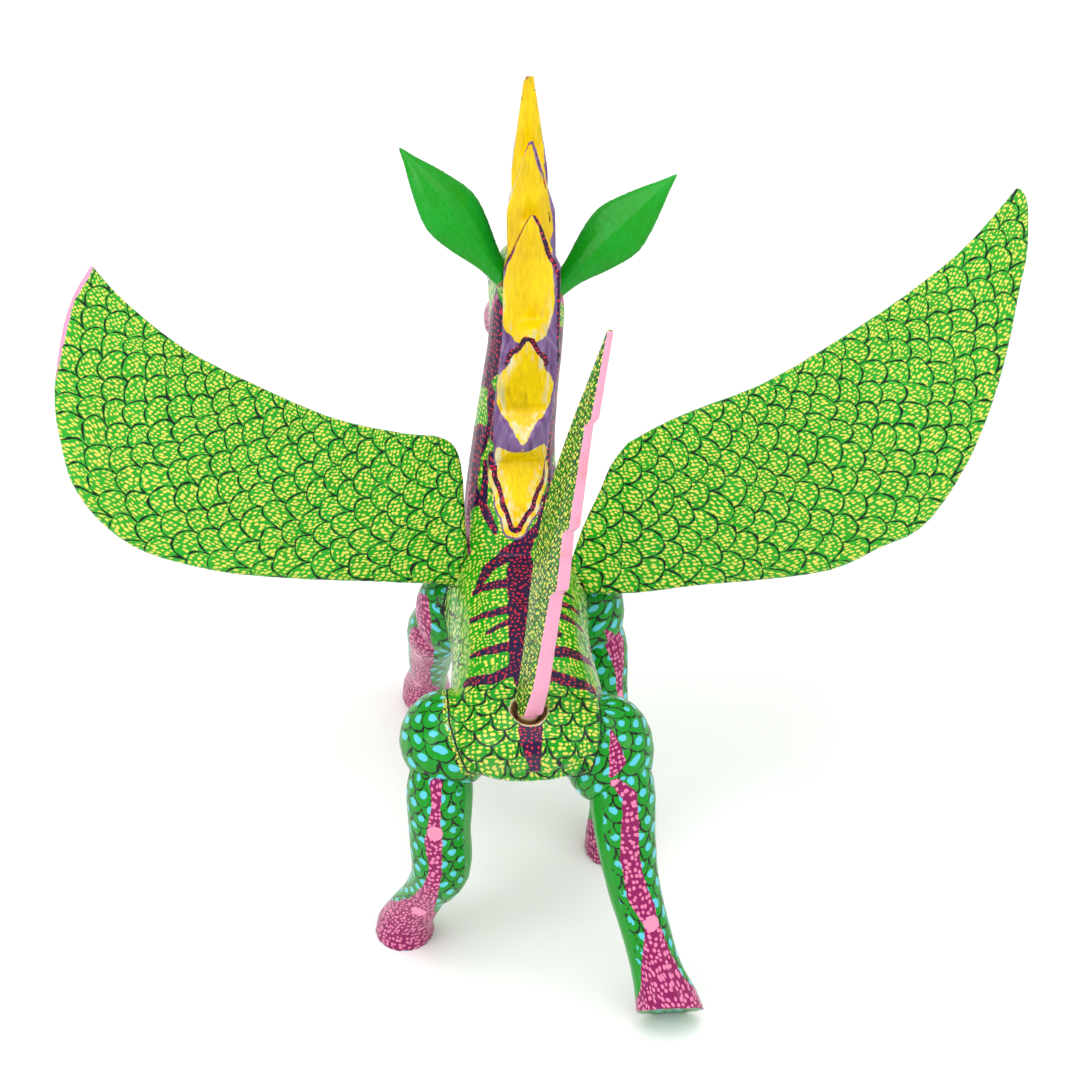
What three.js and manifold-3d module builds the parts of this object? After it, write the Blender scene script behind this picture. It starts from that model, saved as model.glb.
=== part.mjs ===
// Winged horse in the manner of a Oaxacan alebrije: a walking horse carved from soft copal wood, with
// two sawn wings, two leaf-shaped ears and a flame-shaped tail that push into holes in the body.
// Millimetres, +Z up. The horse faces -Y, its left side is +X, and its soles stand on Z = 0.
import * as THREE from 'three';
import { ConvexGeometry } from 'three/addons/geometries/ConvexGeometry.js';
import { mergeVertices } from 'three/addons/utils/BufferGeometryUtils.js';
import Module from 'manifold-3d';

// ---- Overall sizes ----
const TRUNK_LENGTH = 122; // rump to chest
const TRUNK_WIDTH = 50; // across the waist
const TRUNK_DEPTH = 52; // back to belly
const TRUNK_HEIGHT = 93; // middle of the trunk above the soles
const RUMP_END = 54; // rearmost point of the rump, on Y
const NECK_RISE = 110; // neck root to poll
const NECK_WIDTH = 28; // across the middle of the neck
const NECK_LEAN = -7.5; // sideways lean of the neck's upper half
const HEAD_LENGTH = 68; // poll to muzzle
const HEAD_WIDTH = 25; // across the cheeks
const MANE_WIDTH = 21; // across the carved crest

// ---- Pegs, holes and the gaps around them ----
const CLEARANCE = 0.3; // between any two pieces that meet
const WING_PEG_RADIUS = 3.6;
const WING_PEG_LENGTH = 15;
const EAR_PEG_RADIUS = 2.4;
const EAR_PEG_LENGTH = 8;
const TAIL_PEG_RADIUS = 3.6;
const TAIL_PEG_LENGTH = 18;
const TAIL_MOUTH_RADIUS = 6.8; // the hole in the rump opens out to this
const TAIL_MOUTH_DEPTH = 6;

// ---- Wings ----
const WING_THICKNESS = 6.4;
const WING_EDGE_ROUND = 1.4;
const WING_SWEEP = THREE.MathUtils.degToRad(12); // tips carried back
const WING_FORWARD_TILT = THREE.MathUtils.degToRad(25); // upper edges lean forward
const WING_PEG_RAKE = THREE.MathUtils.degToRad(50); // peg against the wing's lower edge
const WING_ROOT_Y = -38;
const WING_ROOT_RISE = THREE.MathUtils.degToRad(32); // place around the trunk, up from its side
const LEFT_WING_SPAN = 137;
const LEFT_WING_HEIGHT = 129;
const RIGHT_WING_SPAN = 153;
const RIGHT_WING_HEIGHT = 150;

// ---- Ears ----
const EAR_LENGTH = 58;
const EAR_WIDTH = 21;
const EAR_THICKNESS = 9;
const EAR_ROOT_WIDTH = 7;

// ---- Tail ----
const TAIL_LENGTH = 158; // rim of the hole to tip
const TAIL_DEPTH = 23; // front to back at the widest
const TAIL_BASE_THICKNESS = 9.4;
const TAIL_TIP_THICKNESS = 2.6;
const TAIL_EDGE_ROUND = 0.8;
const TAIL_TURN = THREE.MathUtils.degToRad(18); // of the blade about its own length
const TAIL_ROOT_Y = 43;

// ---- Legs ----
const LEG_WIDTH = 22; // across the thigh where it leaves the haunch
const LEG_SOCKET_DEPTH = 12; // how far the top of a leg goes into the body

const GREEN = '#2f9a2a';
const DEEP_GREEN = '#1e8a2c';
const PURPLE_BAND = '#8c1a6b';
const VARNISH = { roughness: 0.32, metalness: 0 };

const X_AXIS = new THREE.Vector3(1, 0, 0);
const Y_AXIS = new THREE.Vector3(0, 1, 0);
const Z_AXIS = new THREE.Vector3(0, 0, 1);

const manifold = await Module();
manifold.setup();

// A closed geometry as a solid that can be joined and cut.
function solid(geometry) {
  const bare = geometry.clone();
  bare.deleteAttribute('normal');
  bare.deleteAttribute('uv');
  const merged = mergeVertices(bare, 1e-4);
  const mesh = new manifold.Mesh({
    numProp: 3,
    vertProperties: new Float32Array(merged.attributes.position.array),
    triVerts: new Uint32Array(merged.index.array),
  });
  return new manifold.Manifold(mesh);
}

// A solid back as a geometry with flat facets.
function geometryOf(shape) {
  const mesh = shape.getMesh();
  const geometry = new THREE.BufferGeometry();
  geometry.setAttribute('position', new THREE.BufferAttribute(new Float32Array(mesh.vertProperties), 3));
  geometry.setIndex(new THREE.BufferAttribute(new Uint32Array(mesh.triVerts), 1));
  geometry.computeVertexNormals();
  return geometry;
}

const joined = (shapes) => shapes.reduce((whole, shape) => whole.add(shape));
const vector = (x, y, z) => new THREE.Vector3(x, y, z);

// A tapering round-sided limb through rows of [x, y, z, half width, half depth].
// The half width lies along X as nearly as the limb's run allows; `power` 2 is an ellipse, less is a diamond.
function limb(rows, { sides = 16, steps = 4, power = 2, grow = 0, wide = X_AXIS } = {}) {
  const path = new THREE.CatmullRomCurve3(rows.map(([x, y, z]) => vector(x, y, z)), false, 'catmullrom');
  const size = new THREE.CatmullRomCurve3(rows.map(([, , , a, b]) => vector(a, b, 0)), false, 'catmullrom');
  const rings = (rows.length - 1) * steps;
  const positions = [];
  const index = [];
  const bulge = (value) => Math.sign(value) * Math.abs(value) ** (2 / power);
  for (let ring = 0; ring <= rings; ring += 1) {
    const t = ring / rings;
    const along = path.getTangent(t);
    const centre = path.getPoint(t);
    if (ring === 0) centre.addScaledVector(along, -grow);
    if (ring === rings) centre.addScaledVector(along, grow);
    const half = size.getPoint(t);
    const across = wide.clone().addScaledVector(along, -wide.dot(along)).normalize();
    const through = new THREE.Vector3().crossVectors(along, across);
    for (let side = 0; side < sides; side += 1) {
      const turn = (side / sides) * 2 * Math.PI;
      const point = centre.clone();
      point.addScaledVector(across, (half.x + grow) * bulge(Math.cos(turn)));
      point.addScaledVector(through, (half.y + grow) * bulge(Math.sin(turn)));
      positions.push(point.x, point.y, point.z);
      if (ring < rings) {
        const here = ring * sides + side;
        const next = ring * sides + ((side + 1) % sides);
        index.push(here, next, next + sides, here, next + sides, here + sides);
      }
    }
  }
  for (const [ring, flip] of [[0, true], [rings, false]]) {
    const along = path.getTangent(ring / rings);
    const centre = path.getPoint(ring / rings).addScaledVector(along, flip ? -grow : grow);
    const middle = positions.length / 3;
    positions.push(centre.x, centre.y, centre.z);
    for (let side = 0; side < sides; side += 1) {
      const here = ring * sides + side;
      const next = ring * sides + ((side + 1) % sides);
      index.push(middle, flip ? next : here, flip ? here : next);
    }
  }
  const geometry = new THREE.BufferGeometry();
  geometry.setAttribute('position', new THREE.Float32BufferAttribute(positions, 3));
  geometry.setIndex(index);
  return geometry;
}

// A round bar of one radius, standing on `from` and running along `direction`.
function bar(from, direction, length, radius, topRadius = radius, sides = 20) {
  const geometry = new THREE.CylinderGeometry(topRadius, radius, length, sides);
  geometry.translate(0, length / 2, 0);
  geometry.applyQuaternion(new THREE.Quaternion().setFromUnitVectors(Y_AXIS, direction));
  geometry.translate(from.x, from.y, from.z);
  return geometry;
}

// A board sawn to an outline in X and Y, centred on Z = 0, with its edges rounded over by `round`.
function plank(outline, thickness, round) {
  const points = outline.getPoints(3);
  if (THREE.ShapeUtils.isClockWise(points)) points.reverse();
  const inward = points.map((point, i) => {
    const before = points.at(i - 1);
    const after = points[(i + 1) % points.length];
    return new THREE.Vector2(before.y - after.y, after.x - before.x).normalize();
  });
  const insetAt = (x, y) => {
    const distances = points.map((point) => Math.hypot(point.x - x, point.y - y));
    return inward[distances.indexOf(Math.min(...distances))];
  };
  const layers = { depth: 3, steps: 3, curveSegments: 3, bevelEnabled: false };
  const geometry = new THREE.ExtrudeGeometry(outline, layers);
  const position = geometry.attributes.position;
  for (let i = 0; i < position.count; i += 1) {
    const x = position.getX(i);
    const y = position.getY(i);
    const layer = Math.round(position.getZ(i)); // 0 and 3 are the faces, 1 and 2 the edge between them
    const half = thickness(x, y) / 2;
    const inset = insetAt(x, y);
    const onFace = layer === 0 || layer === 3;
    const upward = layer > 1 ? 1 : -1;
    if (onFace) position.setXY(i, x + inset.x * round, y + inset.y * round);
    position.setZ(i, upward * (onFace ? half : Math.max(half - round, half * 0.3)));
  }
  return geometry;
}

// An egg-shaped swelling with half sizes [x, y, z], tipped about X.
function swelling({ x, y, z, half, tip }, grow, around = 20, down = 12) {
  const geometry = new THREE.SphereGeometry(1, around, down);
  geometry.scale(half[0] + grow, half[1] + grow, half[2] + grow);
  geometry.rotateX(THREE.MathUtils.degToRad(tip));
  geometry.translate(x, y, z);
  return geometry;
}

// ---- Trunk ----
const TRUNK_ROWS = [
  // share of the length from the rump, rise, share of the half width, share of the half depth
  [0.0, 3, 0.36, 0.16],
  [0.03, 4, 0.82, 0.42],
  [0.11, 3.5, 1.04, 0.64],
  [0.27, 0, 1.08, 0.88],
  [0.44, 1, 1.0, 0.93],
  [0.58, 2, 0.98, 0.98],
  [0.74, 1, 1.02, 1.1],
  [0.88, -1, 0.9, 1.08],
  [0.96, -3, 0.6, 0.76],
  [1.0, -3, 0.2, 0.26],
].map(([share, rise, wide, deep]) => [
  0,
  RUMP_END - share * TRUNK_LENGTH,
  TRUNK_HEIGHT + rise,
  (wide * TRUNK_WIDTH) / 2,
  (deep * TRUNK_DEPTH) / 2,
]);

// Centre height and half sizes of the trunk where it crosses one Y.
function trunkSection(y) {
  const centres = TRUNK_ROWS.map((row) => vector(row[0], row[1], row[2]));
  const halves = TRUNK_ROWS.map((row) => vector(row[3], row[4], 0));
  const path = new THREE.CatmullRomCurve3(centres, false, 'catmullrom');
  const size = new THREE.CatmullRomCurve3(halves, false, 'catmullrom');
  let low = 0;
  let high = 1;
  for (let halving = 0; halving < 40; halving += 1) {
    const t = (low + high) / 2;
    if (path.getPoint(t).y > y) low = t;
    else high = t;
  }
  const half = size.getPoint(low);
  return { z: path.getPoint(low).z, wide: half.x, deep: half.y };
}

// A point on the trunk's skin; `rise` turns from its left side (0) up to its back (a right angle).
function trunkSkin(y, rise) {
  const { z, wide, deep } = trunkSection(y);
  return vector(wide * Math.cos(rise), y, z + deep * Math.sin(rise));
}

// ---- Haunches and shoulders ----
// Each swells from the side of the trunk and leans the way its leg strides.
const HALF_TRUNK = TRUNK_WIDTH / 2;
const LEFT_HAUNCH = { x: HALF_TRUNK + 2.5, y: 29, z: TRUNK_HEIGHT - 4, half: [17, 19, 17], tip: 12 };
const RIGHT_HAUNCH = { x: -HALF_TRUNK - 2, y: 34, z: TRUNK_HEIGHT - 8, half: [16, 17, 19.5], tip: 30 };
const LEFT_SHOULDER = { x: HALF_TRUNK, y: -49, z: TRUNK_HEIGHT - 7, half: [11, 14, 18], tip: -20 };
const RIGHT_SHOULDER = { x: -HALF_TRUNK - 2.5, y: -46, z: TRUNK_HEIGHT - 7, half: [12.5, 14, 18], tip: 15 };

// ---- Neck and head ----
const POLL = vector(0, -75, TRUNK_HEIGHT + 113);

// Sideways lean of everything above the withers.
function lean(z) {
  return NECK_LEAN * THREE.MathUtils.smoothstep(z, TRUNK_HEIGHT + 35, TRUNK_HEIGHT + 118);
}

function leaned(geometry) {
  const position = geometry.attributes.position;
  for (let i = 0; i < position.count; i += 1) {
    position.setX(i, position.getX(i) + lean(position.getZ(i)));
  }
  return geometry;
}

function neckAt(share) {
  return POLL.z - (1 - share) * NECK_RISE;
}

function neck(grow) {
  const half = NECK_WIDTH / 2;
  const rows = [
    [0, -44, neckAt(0.0), 1.5 * half, 22],
    [0, -54, neckAt(0.2), 1.32 * half, 22],
    [0, -64, neckAt(0.42), 1.1 * half, 18.5],
    [0, -69, neckAt(0.62), 1.0 * half, 16.5],
    [0, -72, neckAt(0.8), 0.95 * half, 15],
    [0, POLL.y, neckAt(0.95), 0.9 * half, 13],
    [0, POLL.y - 2, neckAt(1.04), 0.6 * half, 8],
  ];
  return leaned(limb(rows, { sides: 20, grow }));
}

function head(grow) {
  const half = HEAD_WIDTH / 2;
  // shares of how far the face runs forward and down from the poll
  const run = (share, drop) => {
    const y = POLL.y + 4 - share * HEAD_LENGTH * 0.83;
    const z = POLL.z - 2 - drop * HEAD_LENGTH * 0.62;
    return [0, y, z];
  };
  const rows = [
    [...run(0.0, -0.02), 0.8 * half, 9],
    [...run(0.2, 0.02), 0.96 * half, 15],
    [...run(0.42, 0.25), half, 15.5],
    [...run(0.64, 0.54), 0.78 * half, 11.5],
    [...run(0.84, 0.8), 0.68 * half, 9.5],
    [...run(0.96, 0.95), 0.74 * half, 9],
    [...run(1.03, 1.04), 0.5 * half, 6],
  ];
  return leaned(limb(rows, { sides: 20, power: 2.3, grow }));
}

// Two almond-shaped eyes left standing on the cheeks.
const EYE_LET_IN = 1.6; // the eye's middle inside the cheek
const EYE = { y: POLL.y - 22, z: POLL.z - 8, half: [2.2, 4.6, 3], tip: -38 };

function eyes(grow) {
  return [-1, 1].map((side) => {
    const x = side * (HEAD_WIDTH / 2 - EYE_LET_IN);
    return leaned(swelling({ x, ...EYE }, grow, 12, 8));
  });
}

// The mouth is one saw cut up into the muzzle.
const MOUTH_DEPTH = 16;
const MOUTH_KERF = 1.4;
const MOUTH_SLOPE = THREE.MathUtils.degToRad(38);

function mouth() {
  const geometry = new THREE.BoxGeometry(HEAD_WIDTH, MOUTH_DEPTH, MOUTH_KERF);
  geometry.rotateX(MOUTH_SLOPE);
  geometry.translate(0, POLL.y - 52, POLL.z - 46);
  return leaned(geometry);
}

// ---- Mane: a crest of pointed locks carved in one with the neck ----
// One lock is the hull of its root on the neck, from `top` down to `bottom`, and its tip.
// Places are [y, height above the trunk's middle]; `share` is its part of the crest's width.
const LOCKS = [
  // three low locks whose tips point back over the withers
  { tip: [-33, 32], top: [-41, 37], bottom: [-38, 24], inner: [[-52, 30]], share: 0.8, tipWidth: 1.5 },
  { tip: [-37, 38], top: [-49, 57], bottom: [-43, 28], inner: [[-58, 45]], share: 0.95, tipWidth: 2 },
  { tip: [-42, 67], top: [-52, 77], bottom: [-50, 55], inner: [[-62, 66]], share: 1, tipWidth: 2 },
  // four tall locks that flame upward, the last one over the forehead
  {
    tip: [-46, 113], top: [-53, 98], bottom: [-52, 76],
    inner: [[-66, 80], [-66, 110]], share: 1, tipWidth: 1.6,
  },
  {
    tip: [-55, 153], top: [-58, 130], bottom: [-54, 100],
    inner: [[-74, 104], [-74, 128]], share: 0.95, tipWidth: 1.6,
  },
  {
    tip: [-64, 176], top: [-65, 148], bottom: [-60, 118],
    inner: [[-82, 118], [-80, 146]], share: 0.8, tipWidth: 1.6,
  },
  {
    tip: [-74, 196], top: [-72, 160], bottom: [-68, 120],
    inner: [[-92, 118], [-88, 156]], share: 0.6, tipWidth: 3,
  },
];
const LOCK_INNER_SHARE = 0.4; // half width of a lock's buried root, as a share of its full width

function lock({ tip, top, bottom, inner, share, tipWidth }, grow) {
  const width = share * MANE_WIDTH;
  const place = (x, [y, rise]) => vector(x, y, TRUNK_HEIGHT + rise);
  const points = [];
  for (const side of [-1, 1]) {
    points.push(place((side * width) / 2, top));
    points.push(place((side * width) / 2, bottom));
    points.push(place((side * tipWidth) / 2, tip));
    for (const root of inner) points.push(place(side * width * LOCK_INNER_SHARE, root));
  }
  const middle = vector(0, 0, 0);
  for (const point of points) middle.addScaledVector(point, 1 / points.length);
  // pushing the corners three times as far moves the sloping faces out by at least `grow`
  const pushed = points.map((point) => {
    const outward = point.clone().sub(middle).normalize();
    return point.clone().addScaledVector(outward, 3 * grow);
  });
  return leaned(new ConvexGeometry(pushed));
}

function mane(grow) {
  return LOCKS.map((shape) => lock(shape, grow));
}

// The carved block before its holes are bored, with every surface moved out by `grow`.
function block(grow) {
  const shapes = [limb(TRUNK_ROWS, { sides: 24, power: 2.2, steps: 3, grow }), neck(grow), head(grow)];
  for (const muscle of [LEFT_HAUNCH, RIGHT_HAUNCH, LEFT_SHOULDER, RIGHT_SHOULDER]) {
    shapes.push(swelling(muscle, grow));
  }
  return joined([...shapes, ...mane(grow), ...eyes(grow)].map(solid));
}

// ---- Legs ----
// Rows run from the hidden top down to the sole: sideways and lengthways places from the muscle's centre,
// height above the ground, share of the thigh's half width, half depth.
function legRows(muscle, rows) {
  const outward = Math.sign(muscle.x);
  return rows.map(([out, back, height, share, depth]) => [
    muscle.x + outward * out,
    muscle.y + back,
    height,
    (share * LEG_WIDTH) / 2,
    depth,
  ]);
}

const hip = LEFT_HAUNCH.z - 13; // where the hind legs leave the haunches
const elbow = LEFT_SHOULDER.z - 14; // where the forelegs leave the shoulders
const LEGS = {
  left_hind_leg: {
    rows: legRows(LEFT_HAUNCH, [
      [2, 4, hip + LEG_SOCKET_DEPTH, 0.75, 8.5],
      [3.5, 9, hip, 1, 12],
      [4, 12, 0.79 * hip, 0.98, 11.5],
      [4, 14, 0.57 * hip, 0.94, 10.5],
      [9, 9, 0.38 * hip, 0.7, 8],
      [14, 2, 14, 0.76, 8.5],
      [16.5, -2, 4, 0.92, 11],
      [17, -3, -2, 1, 12],
    ]),
  },
  right_hind_leg: {
    rows: legRows(RIGHT_HAUNCH, [
      [1.5, 1, hip + LEG_SOCKET_DEPTH, 0.75, 8.5],
      [4, 8, hip, 1, 12],
      [5, 16, 0.79 * hip, 0.95, 11],
      [7, 24, 0.6 * hip, 0.84, 10],
      [10.5, 32, 0.43 * hip, 0.78, 9],
      [14, 40, 20, 0.8, 9],
      [17, 46.5, 11, 1, 10.5],
      [19, 51, 3, 1.12, 11.5],
    ]),
    // this hoof is pushing off, with only its toe on the ground
    tiltedSole: { degrees: 48, y: RIGHT_HAUNCH.y + 48, z: 7 },
  },
  left_foreleg: {
    rows: legRows(LEFT_SHOULDER, [
      [2.5, -2, elbow + LEG_SOCKET_DEPTH, 0.7, 8],
      [3.5, -8, elbow, 0.92, 11],
      [4.5, -25, 0.75 * elbow, 0.82, 10],
      [5, -38, 0.5 * elbow, 0.74, 9],
      [5.5, -50, 20, 0.66, 8],
      [6, -59, 6, 0.84, 11],
      [6, -62, -2, 0.88, 12],
    ]),
  },
  right_foreleg: {
    rows: legRows(RIGHT_SHOULDER, [
      [2, 1, elbow + LEG_SOCKET_DEPTH, 0.7, 8],
      [3, 4, elbow, 0.92, 11],
      [4, 12, 0.72 * elbow, 0.84, 10],
      [5, 20, 0.47 * elbow, 0.76, 9],
      [6, 26, 18, 0.7, 8],
      [6, 31, 6, 0.88, 11],
      [6, 32, -2, 0.92, 12],
    ]),
  },
};

// Everything under a level plane through the origin, as far as a leg can reach.
function underside() {
  const reach = 400;
  const depth = 60;
  return new THREE.BoxGeometry(reach, reach, depth).translate(0, 0, -depth / 2);
}

// A leg sawn off level with the ground, and across its tilted sole where it has one.
function leg({ rows, tiltedSole }) {
  const level = solid(limb(rows)).subtract(solid(underside()));
  if (!tiltedSole) return level;
  const saw = underside().rotateX(THREE.MathUtils.degToRad(tiltedSole.degrees));
  return level.subtract(solid(saw.translate(0, tiltedSole.y, tiltedSole.z)));
}

// ---- Wings ----
const LEFT_WING = {
  side: 1,
  span: LEFT_WING_SPAN,
  height: LEFT_WING_HEIGHT,
  setIn: [5.5, 1], // how far the plate's root corner is let in toward the trunk before it is cut to it
  // shares of the span and the height, from the root round by the inner edge, the tip and the lower edge
  inner: [[0, 0.12], [-0.01, 0.3], [0.005, 0.375], [0.045, 0.405]],
  upper: [[0.14, 0.43], [0.31, 0.5], [0.48, 0.61], [0.655, 0.74], [0.79, 0.89], [0.86, 1]],
  outer: [[0.925, 0.91], [0.97, 0.79], [1, 0.66], [1, 0.54], [0.985, 0.425], [0.93, 0.315], [0.83, 0.215]],
  lower: [[0.65, 0.13], [0.45, 0.075], [0.24, 0.03], [0.03, -0.015]],
};
const RIGHT_WING = {
  side: -1,
  span: RIGHT_WING_SPAN,
  height: RIGHT_WING_HEIGHT,
  setIn: [3.5, 3],
  inner: [[0.03, 0.12], [0.067, 0.22], [0.09, 0.285], [0.125, 0.34]],
  upper: [[0.24, 0.413], [0.42, 0.5], [0.575, 0.607], [0.73, 0.73], [0.86, 0.855], [0.965, 1]],
  outer: [[0.99, 0.97], [1, 0.86], [0.99, 0.765], [0.975, 0.63], [0.95, 0.495], [0.9, 0.34], [0.82, 0.2]],
  lower: [[0.72, 0.136], [0.61, 0.074], [0.45, 0.037], [0.31, 0.013], [0.175, -0.016], [0.055, -0.03]],
};

// The wing's own frame: x out along its lower edge, y up the plate, z through it.
function wingFrame({ side }) {
  const out = vector(side * Math.cos(WING_SWEEP), Math.sin(WING_SWEEP), 0);
  const up = vector(side * Math.sin(WING_SWEEP), -Math.cos(WING_SWEEP), 0);
  up.multiplyScalar(Math.sin(WING_FORWARD_TILT));
  up.z = Math.cos(WING_FORWARD_TILT);
  const through = new THREE.Vector3().crossVectors(out, up);
  const root = trunkSkin(WING_ROOT_Y, WING_ROOT_RISE);
  root.x *= side;
  return new THREE.Matrix4().makeBasis(out, up, through).setPosition(root);
}

// The peg's line in the wing's frame: out of the trunk, between the two edges at the root.
const wingPegLine = vector(Math.cos(WING_PEG_RAKE), Math.sin(WING_PEG_RAKE), 0);

function wingPlate({ span, height, setIn, inner, upper, outer, lower }) {
  const scaled = (points) => points.map(([u, v]) => new THREE.Vector2(u * span, v * height));
  const outline = new THREE.Shape();
  outline.moveTo(0, 0);
  outline.splineThru(scaled(inner));
  outline.splineThru(scaled(upper));
  outline.splineThru(scaled([...outer, ...lower]));
  // the plate is shaved thinner toward its outer edge
  const thickness = (u, v) => WING_THICKNESS * (1 - 0.3 * Math.hypot(u / span, v / height));
  return plank(outline, thickness, WING_EDGE_ROUND).translate(-setIn[0], -setIn[1], 0);
}

function wing(shape, nearBody) {
  const frame = wingFrame(shape);
  const body = nearBody.transform(frame.clone().invert().elements);
  const plate = solid(wingPlate(shape)).subtract(body);
  const from = wingPegLine.clone().multiplyScalar(-WING_PEG_LENGTH);
  const peg = bar(from, wingPegLine, WING_PEG_LENGTH + 3, WING_PEG_RADIUS * 0.85, WING_PEG_RADIUS);
  return plate.add(solid(peg));
}

function wingHole(shape) {
  const start = wingPegLine.clone().multiplyScalar(-WING_PEG_LENGTH - CLEARANCE);
  const radius = WING_PEG_RADIUS + CLEARANCE;
  const hole = bar(start, wingPegLine, WING_PEG_LENGTH + 12, radius * 0.87, radius * 1.05);
  return solid(hole.applyMatrix4(wingFrame(shape)));
}

// ---- Ears ----
const LEFT_EAR = { root: vector(9, -70, POLL.z + 6), direction: vector(0.6, -0.4, 0.7).normalize() };
const RIGHT_EAR = { root: vector(-9, -70, POLL.z + 1.5), direction: vector(-0.76, -0.36, 0.56).normalize() };
const EAR_FACING = vector(0, 0.82, 0.57); // the flat of both leaves looks up and back

// The ear's own frame: z along the ear, x across the leaf, y through it.
function earFrame({ root, direction }) {
  const through = EAR_FACING.clone().addScaledVector(direction, -EAR_FACING.dot(direction)).normalize();
  const across = new THREE.Vector3().crossVectors(through, direction);
  const placed = root.clone();
  placed.x += lean(root.z);
  return new THREE.Matrix4().makeBasis(across, through, direction).setPosition(placed);
}

function earLeaf() {
  const wide = EAR_WIDTH / 2;
  const thick = EAR_THICKNESS / 2;
  const base = EAR_ROOT_WIDTH / 2;
  const rows = [
    [0, 0, -1, base, base * 0.9],
    [0, 0, 0.14 * EAR_LENGTH, base * 1.35, thick * 0.85],
    [0, 0, 0.34 * EAR_LENGTH, wide * 0.82, thick],
    [0, 0, 0.52 * EAR_LENGTH, wide, thick],
    [0, 0, 0.72 * EAR_LENGTH, wide * 0.68, thick * 0.75],
    [0, 0, 0.9 * EAR_LENGTH, wide * 0.25, thick * 0.4],
    [0, 0, EAR_LENGTH, wide * 0.04, thick * 0.1],
  ];
  return limb(rows, { sides: 12, steps: 3, power: 1.5 });
}

function ear(shape, nearBody) {
  const body = nearBody.transform(earFrame(shape).clone().invert().elements);
  const from = vector(0, 0, -EAR_PEG_LENGTH);
  const peg = bar(from, Z_AXIS, EAR_PEG_LENGTH + 4, EAR_PEG_RADIUS * 0.85, EAR_PEG_RADIUS);
  return solid(earLeaf()).subtract(body).add(solid(peg));
}

function earHole(shape) {
  const from = vector(0, 0, -EAR_PEG_LENGTH - CLEARANCE);
  const radius = EAR_PEG_RADIUS + CLEARANCE;
  const hole = bar(from, Z_AXIS, EAR_PEG_LENGTH + 10, radius * 0.87, radius * 1.05);
  return solid(hole.applyMatrix4(earFrame(shape)));
}

// ---- Tail ----
const TAIL_DIRECTION = vector(-24, 14, 155).normalize();
const TAIL_ROOT_X = 0.5;

// The tail's own frame: z along the tail, x toward its front edge, y through the blade.
function tailFrame() {
  const along = TAIL_DIRECTION;
  const forward = vector(0, -1, 0);
  forward.addScaledVector(along, -forward.dot(along)).normalize();
  forward.applyAxisAngle(along, TAIL_TURN);
  const through = new THREE.Vector3().crossVectors(along, forward);
  const { z, deep } = trunkSection(TAIL_ROOT_Y);
  return new THREE.Matrix4().makeBasis(forward, through, along).setPosition(TAIL_ROOT_X, TAIL_ROOT_Y, z + deep);
}

// The blade's outline as shares of its depth and length; the rear edge steps in at three notches.
const TAIL_FOOT = [[-0.2, 0.015], [0.24, 0.015]];
const TAIL_FRONT = [[0.3, 0.06], [0.42, 0.15], [0.62, 0.3], [0.68, 0.45], [0.5, 0.66], [0.24, 0.85], [0.02, 1]];
const TAIL_REAR = [
  [-0.04, 0.99],
  [-0.12, 0.79], [0, 0.76],
  [-0.2, 0.52], [-0.06, 0.49],
  [-0.26, 0.36], [-0.12, 0.33],
  [-0.28, 0.08],
];

function tailBlade() {
  const at = ([depth, share]) => new THREE.Vector2(depth * TAIL_DEPTH, share * TAIL_LENGTH);
  const [heel, toe] = TAIL_FOOT.map(at);
  const outline = new THREE.Shape();
  outline.moveTo(heel.x, heel.y);
  outline.lineTo(toe.x, toe.y);
  outline.splineThru(TAIL_FRONT.map(at));
  for (const point of TAIL_REAR.map(at)) outline.lineTo(point.x, point.y);
  const thickness = (depth, height) => (
    THREE.MathUtils.lerp(TAIL_BASE_THICKNESS, TAIL_TIP_THICKNESS, Math.sqrt(Math.max(height, 0) / TAIL_LENGTH))
  );
  return plank(outline, thickness, TAIL_EDGE_ROUND).rotateX(Math.PI / 2);
}

function tail() {
  const from = vector(0, 0, -TAIL_PEG_LENGTH);
  const peg = bar(from, Z_AXIS, TAIL_PEG_LENGTH + 6, TAIL_PEG_RADIUS * 0.9, TAIL_PEG_RADIUS * 1.1);
  return solid(tailBlade()).add(solid(peg));
}

function tailHole() {
  const frame = tailFrame();
  const radius = TAIL_PEG_RADIUS + CLEARANCE;
  const foot = vector(0, 0, -TAIL_PEG_LENGTH - CLEARANCE);
  const bore = bar(foot, Z_AXIS, TAIL_PEG_LENGTH + 8, radius, radius * 1.15);
  const mouthFoot = vector(0, 0, -TAIL_MOUTH_DEPTH);
  const mouthCone = bar(mouthFoot, Z_AXIS, TAIL_MOUTH_DEPTH + 4, radius * 1.1, TAIL_MOUTH_RADIUS * 1.2);
  return solid(bore).add(solid(mouthCone)).transform(frame.elements);
}

// ---- Assembly ----
const figure = new THREE.Group();

function add(name, shape, color, frame) {
  const mesh = new THREE.Mesh(geometryOf(shape), new THREE.MeshStandardMaterial({ color, ...VARNISH }));
  mesh.name = name;
  if (frame) frame.decompose(mesh.position, mesh.quaternion, mesh.scale);
  figure.add(mesh);
}

const sockets = Object.values(LEGS).map(({ rows }) => solid(limb(rows, { grow: CLEARANCE })));
const wingHoles = [LEFT_WING, RIGHT_WING].map(wingHole);
const earHoles = [LEFT_EAR, RIGHT_EAR].map(earHole);
const cuts = [...sockets, ...wingHoles, ...earHoles, tailHole(), solid(mouth())];
const carved = cuts.reduce((whole, cut) => whole.subtract(cut), block(0));
const nearBody = block(CLEARANCE + 0.1);

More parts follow.
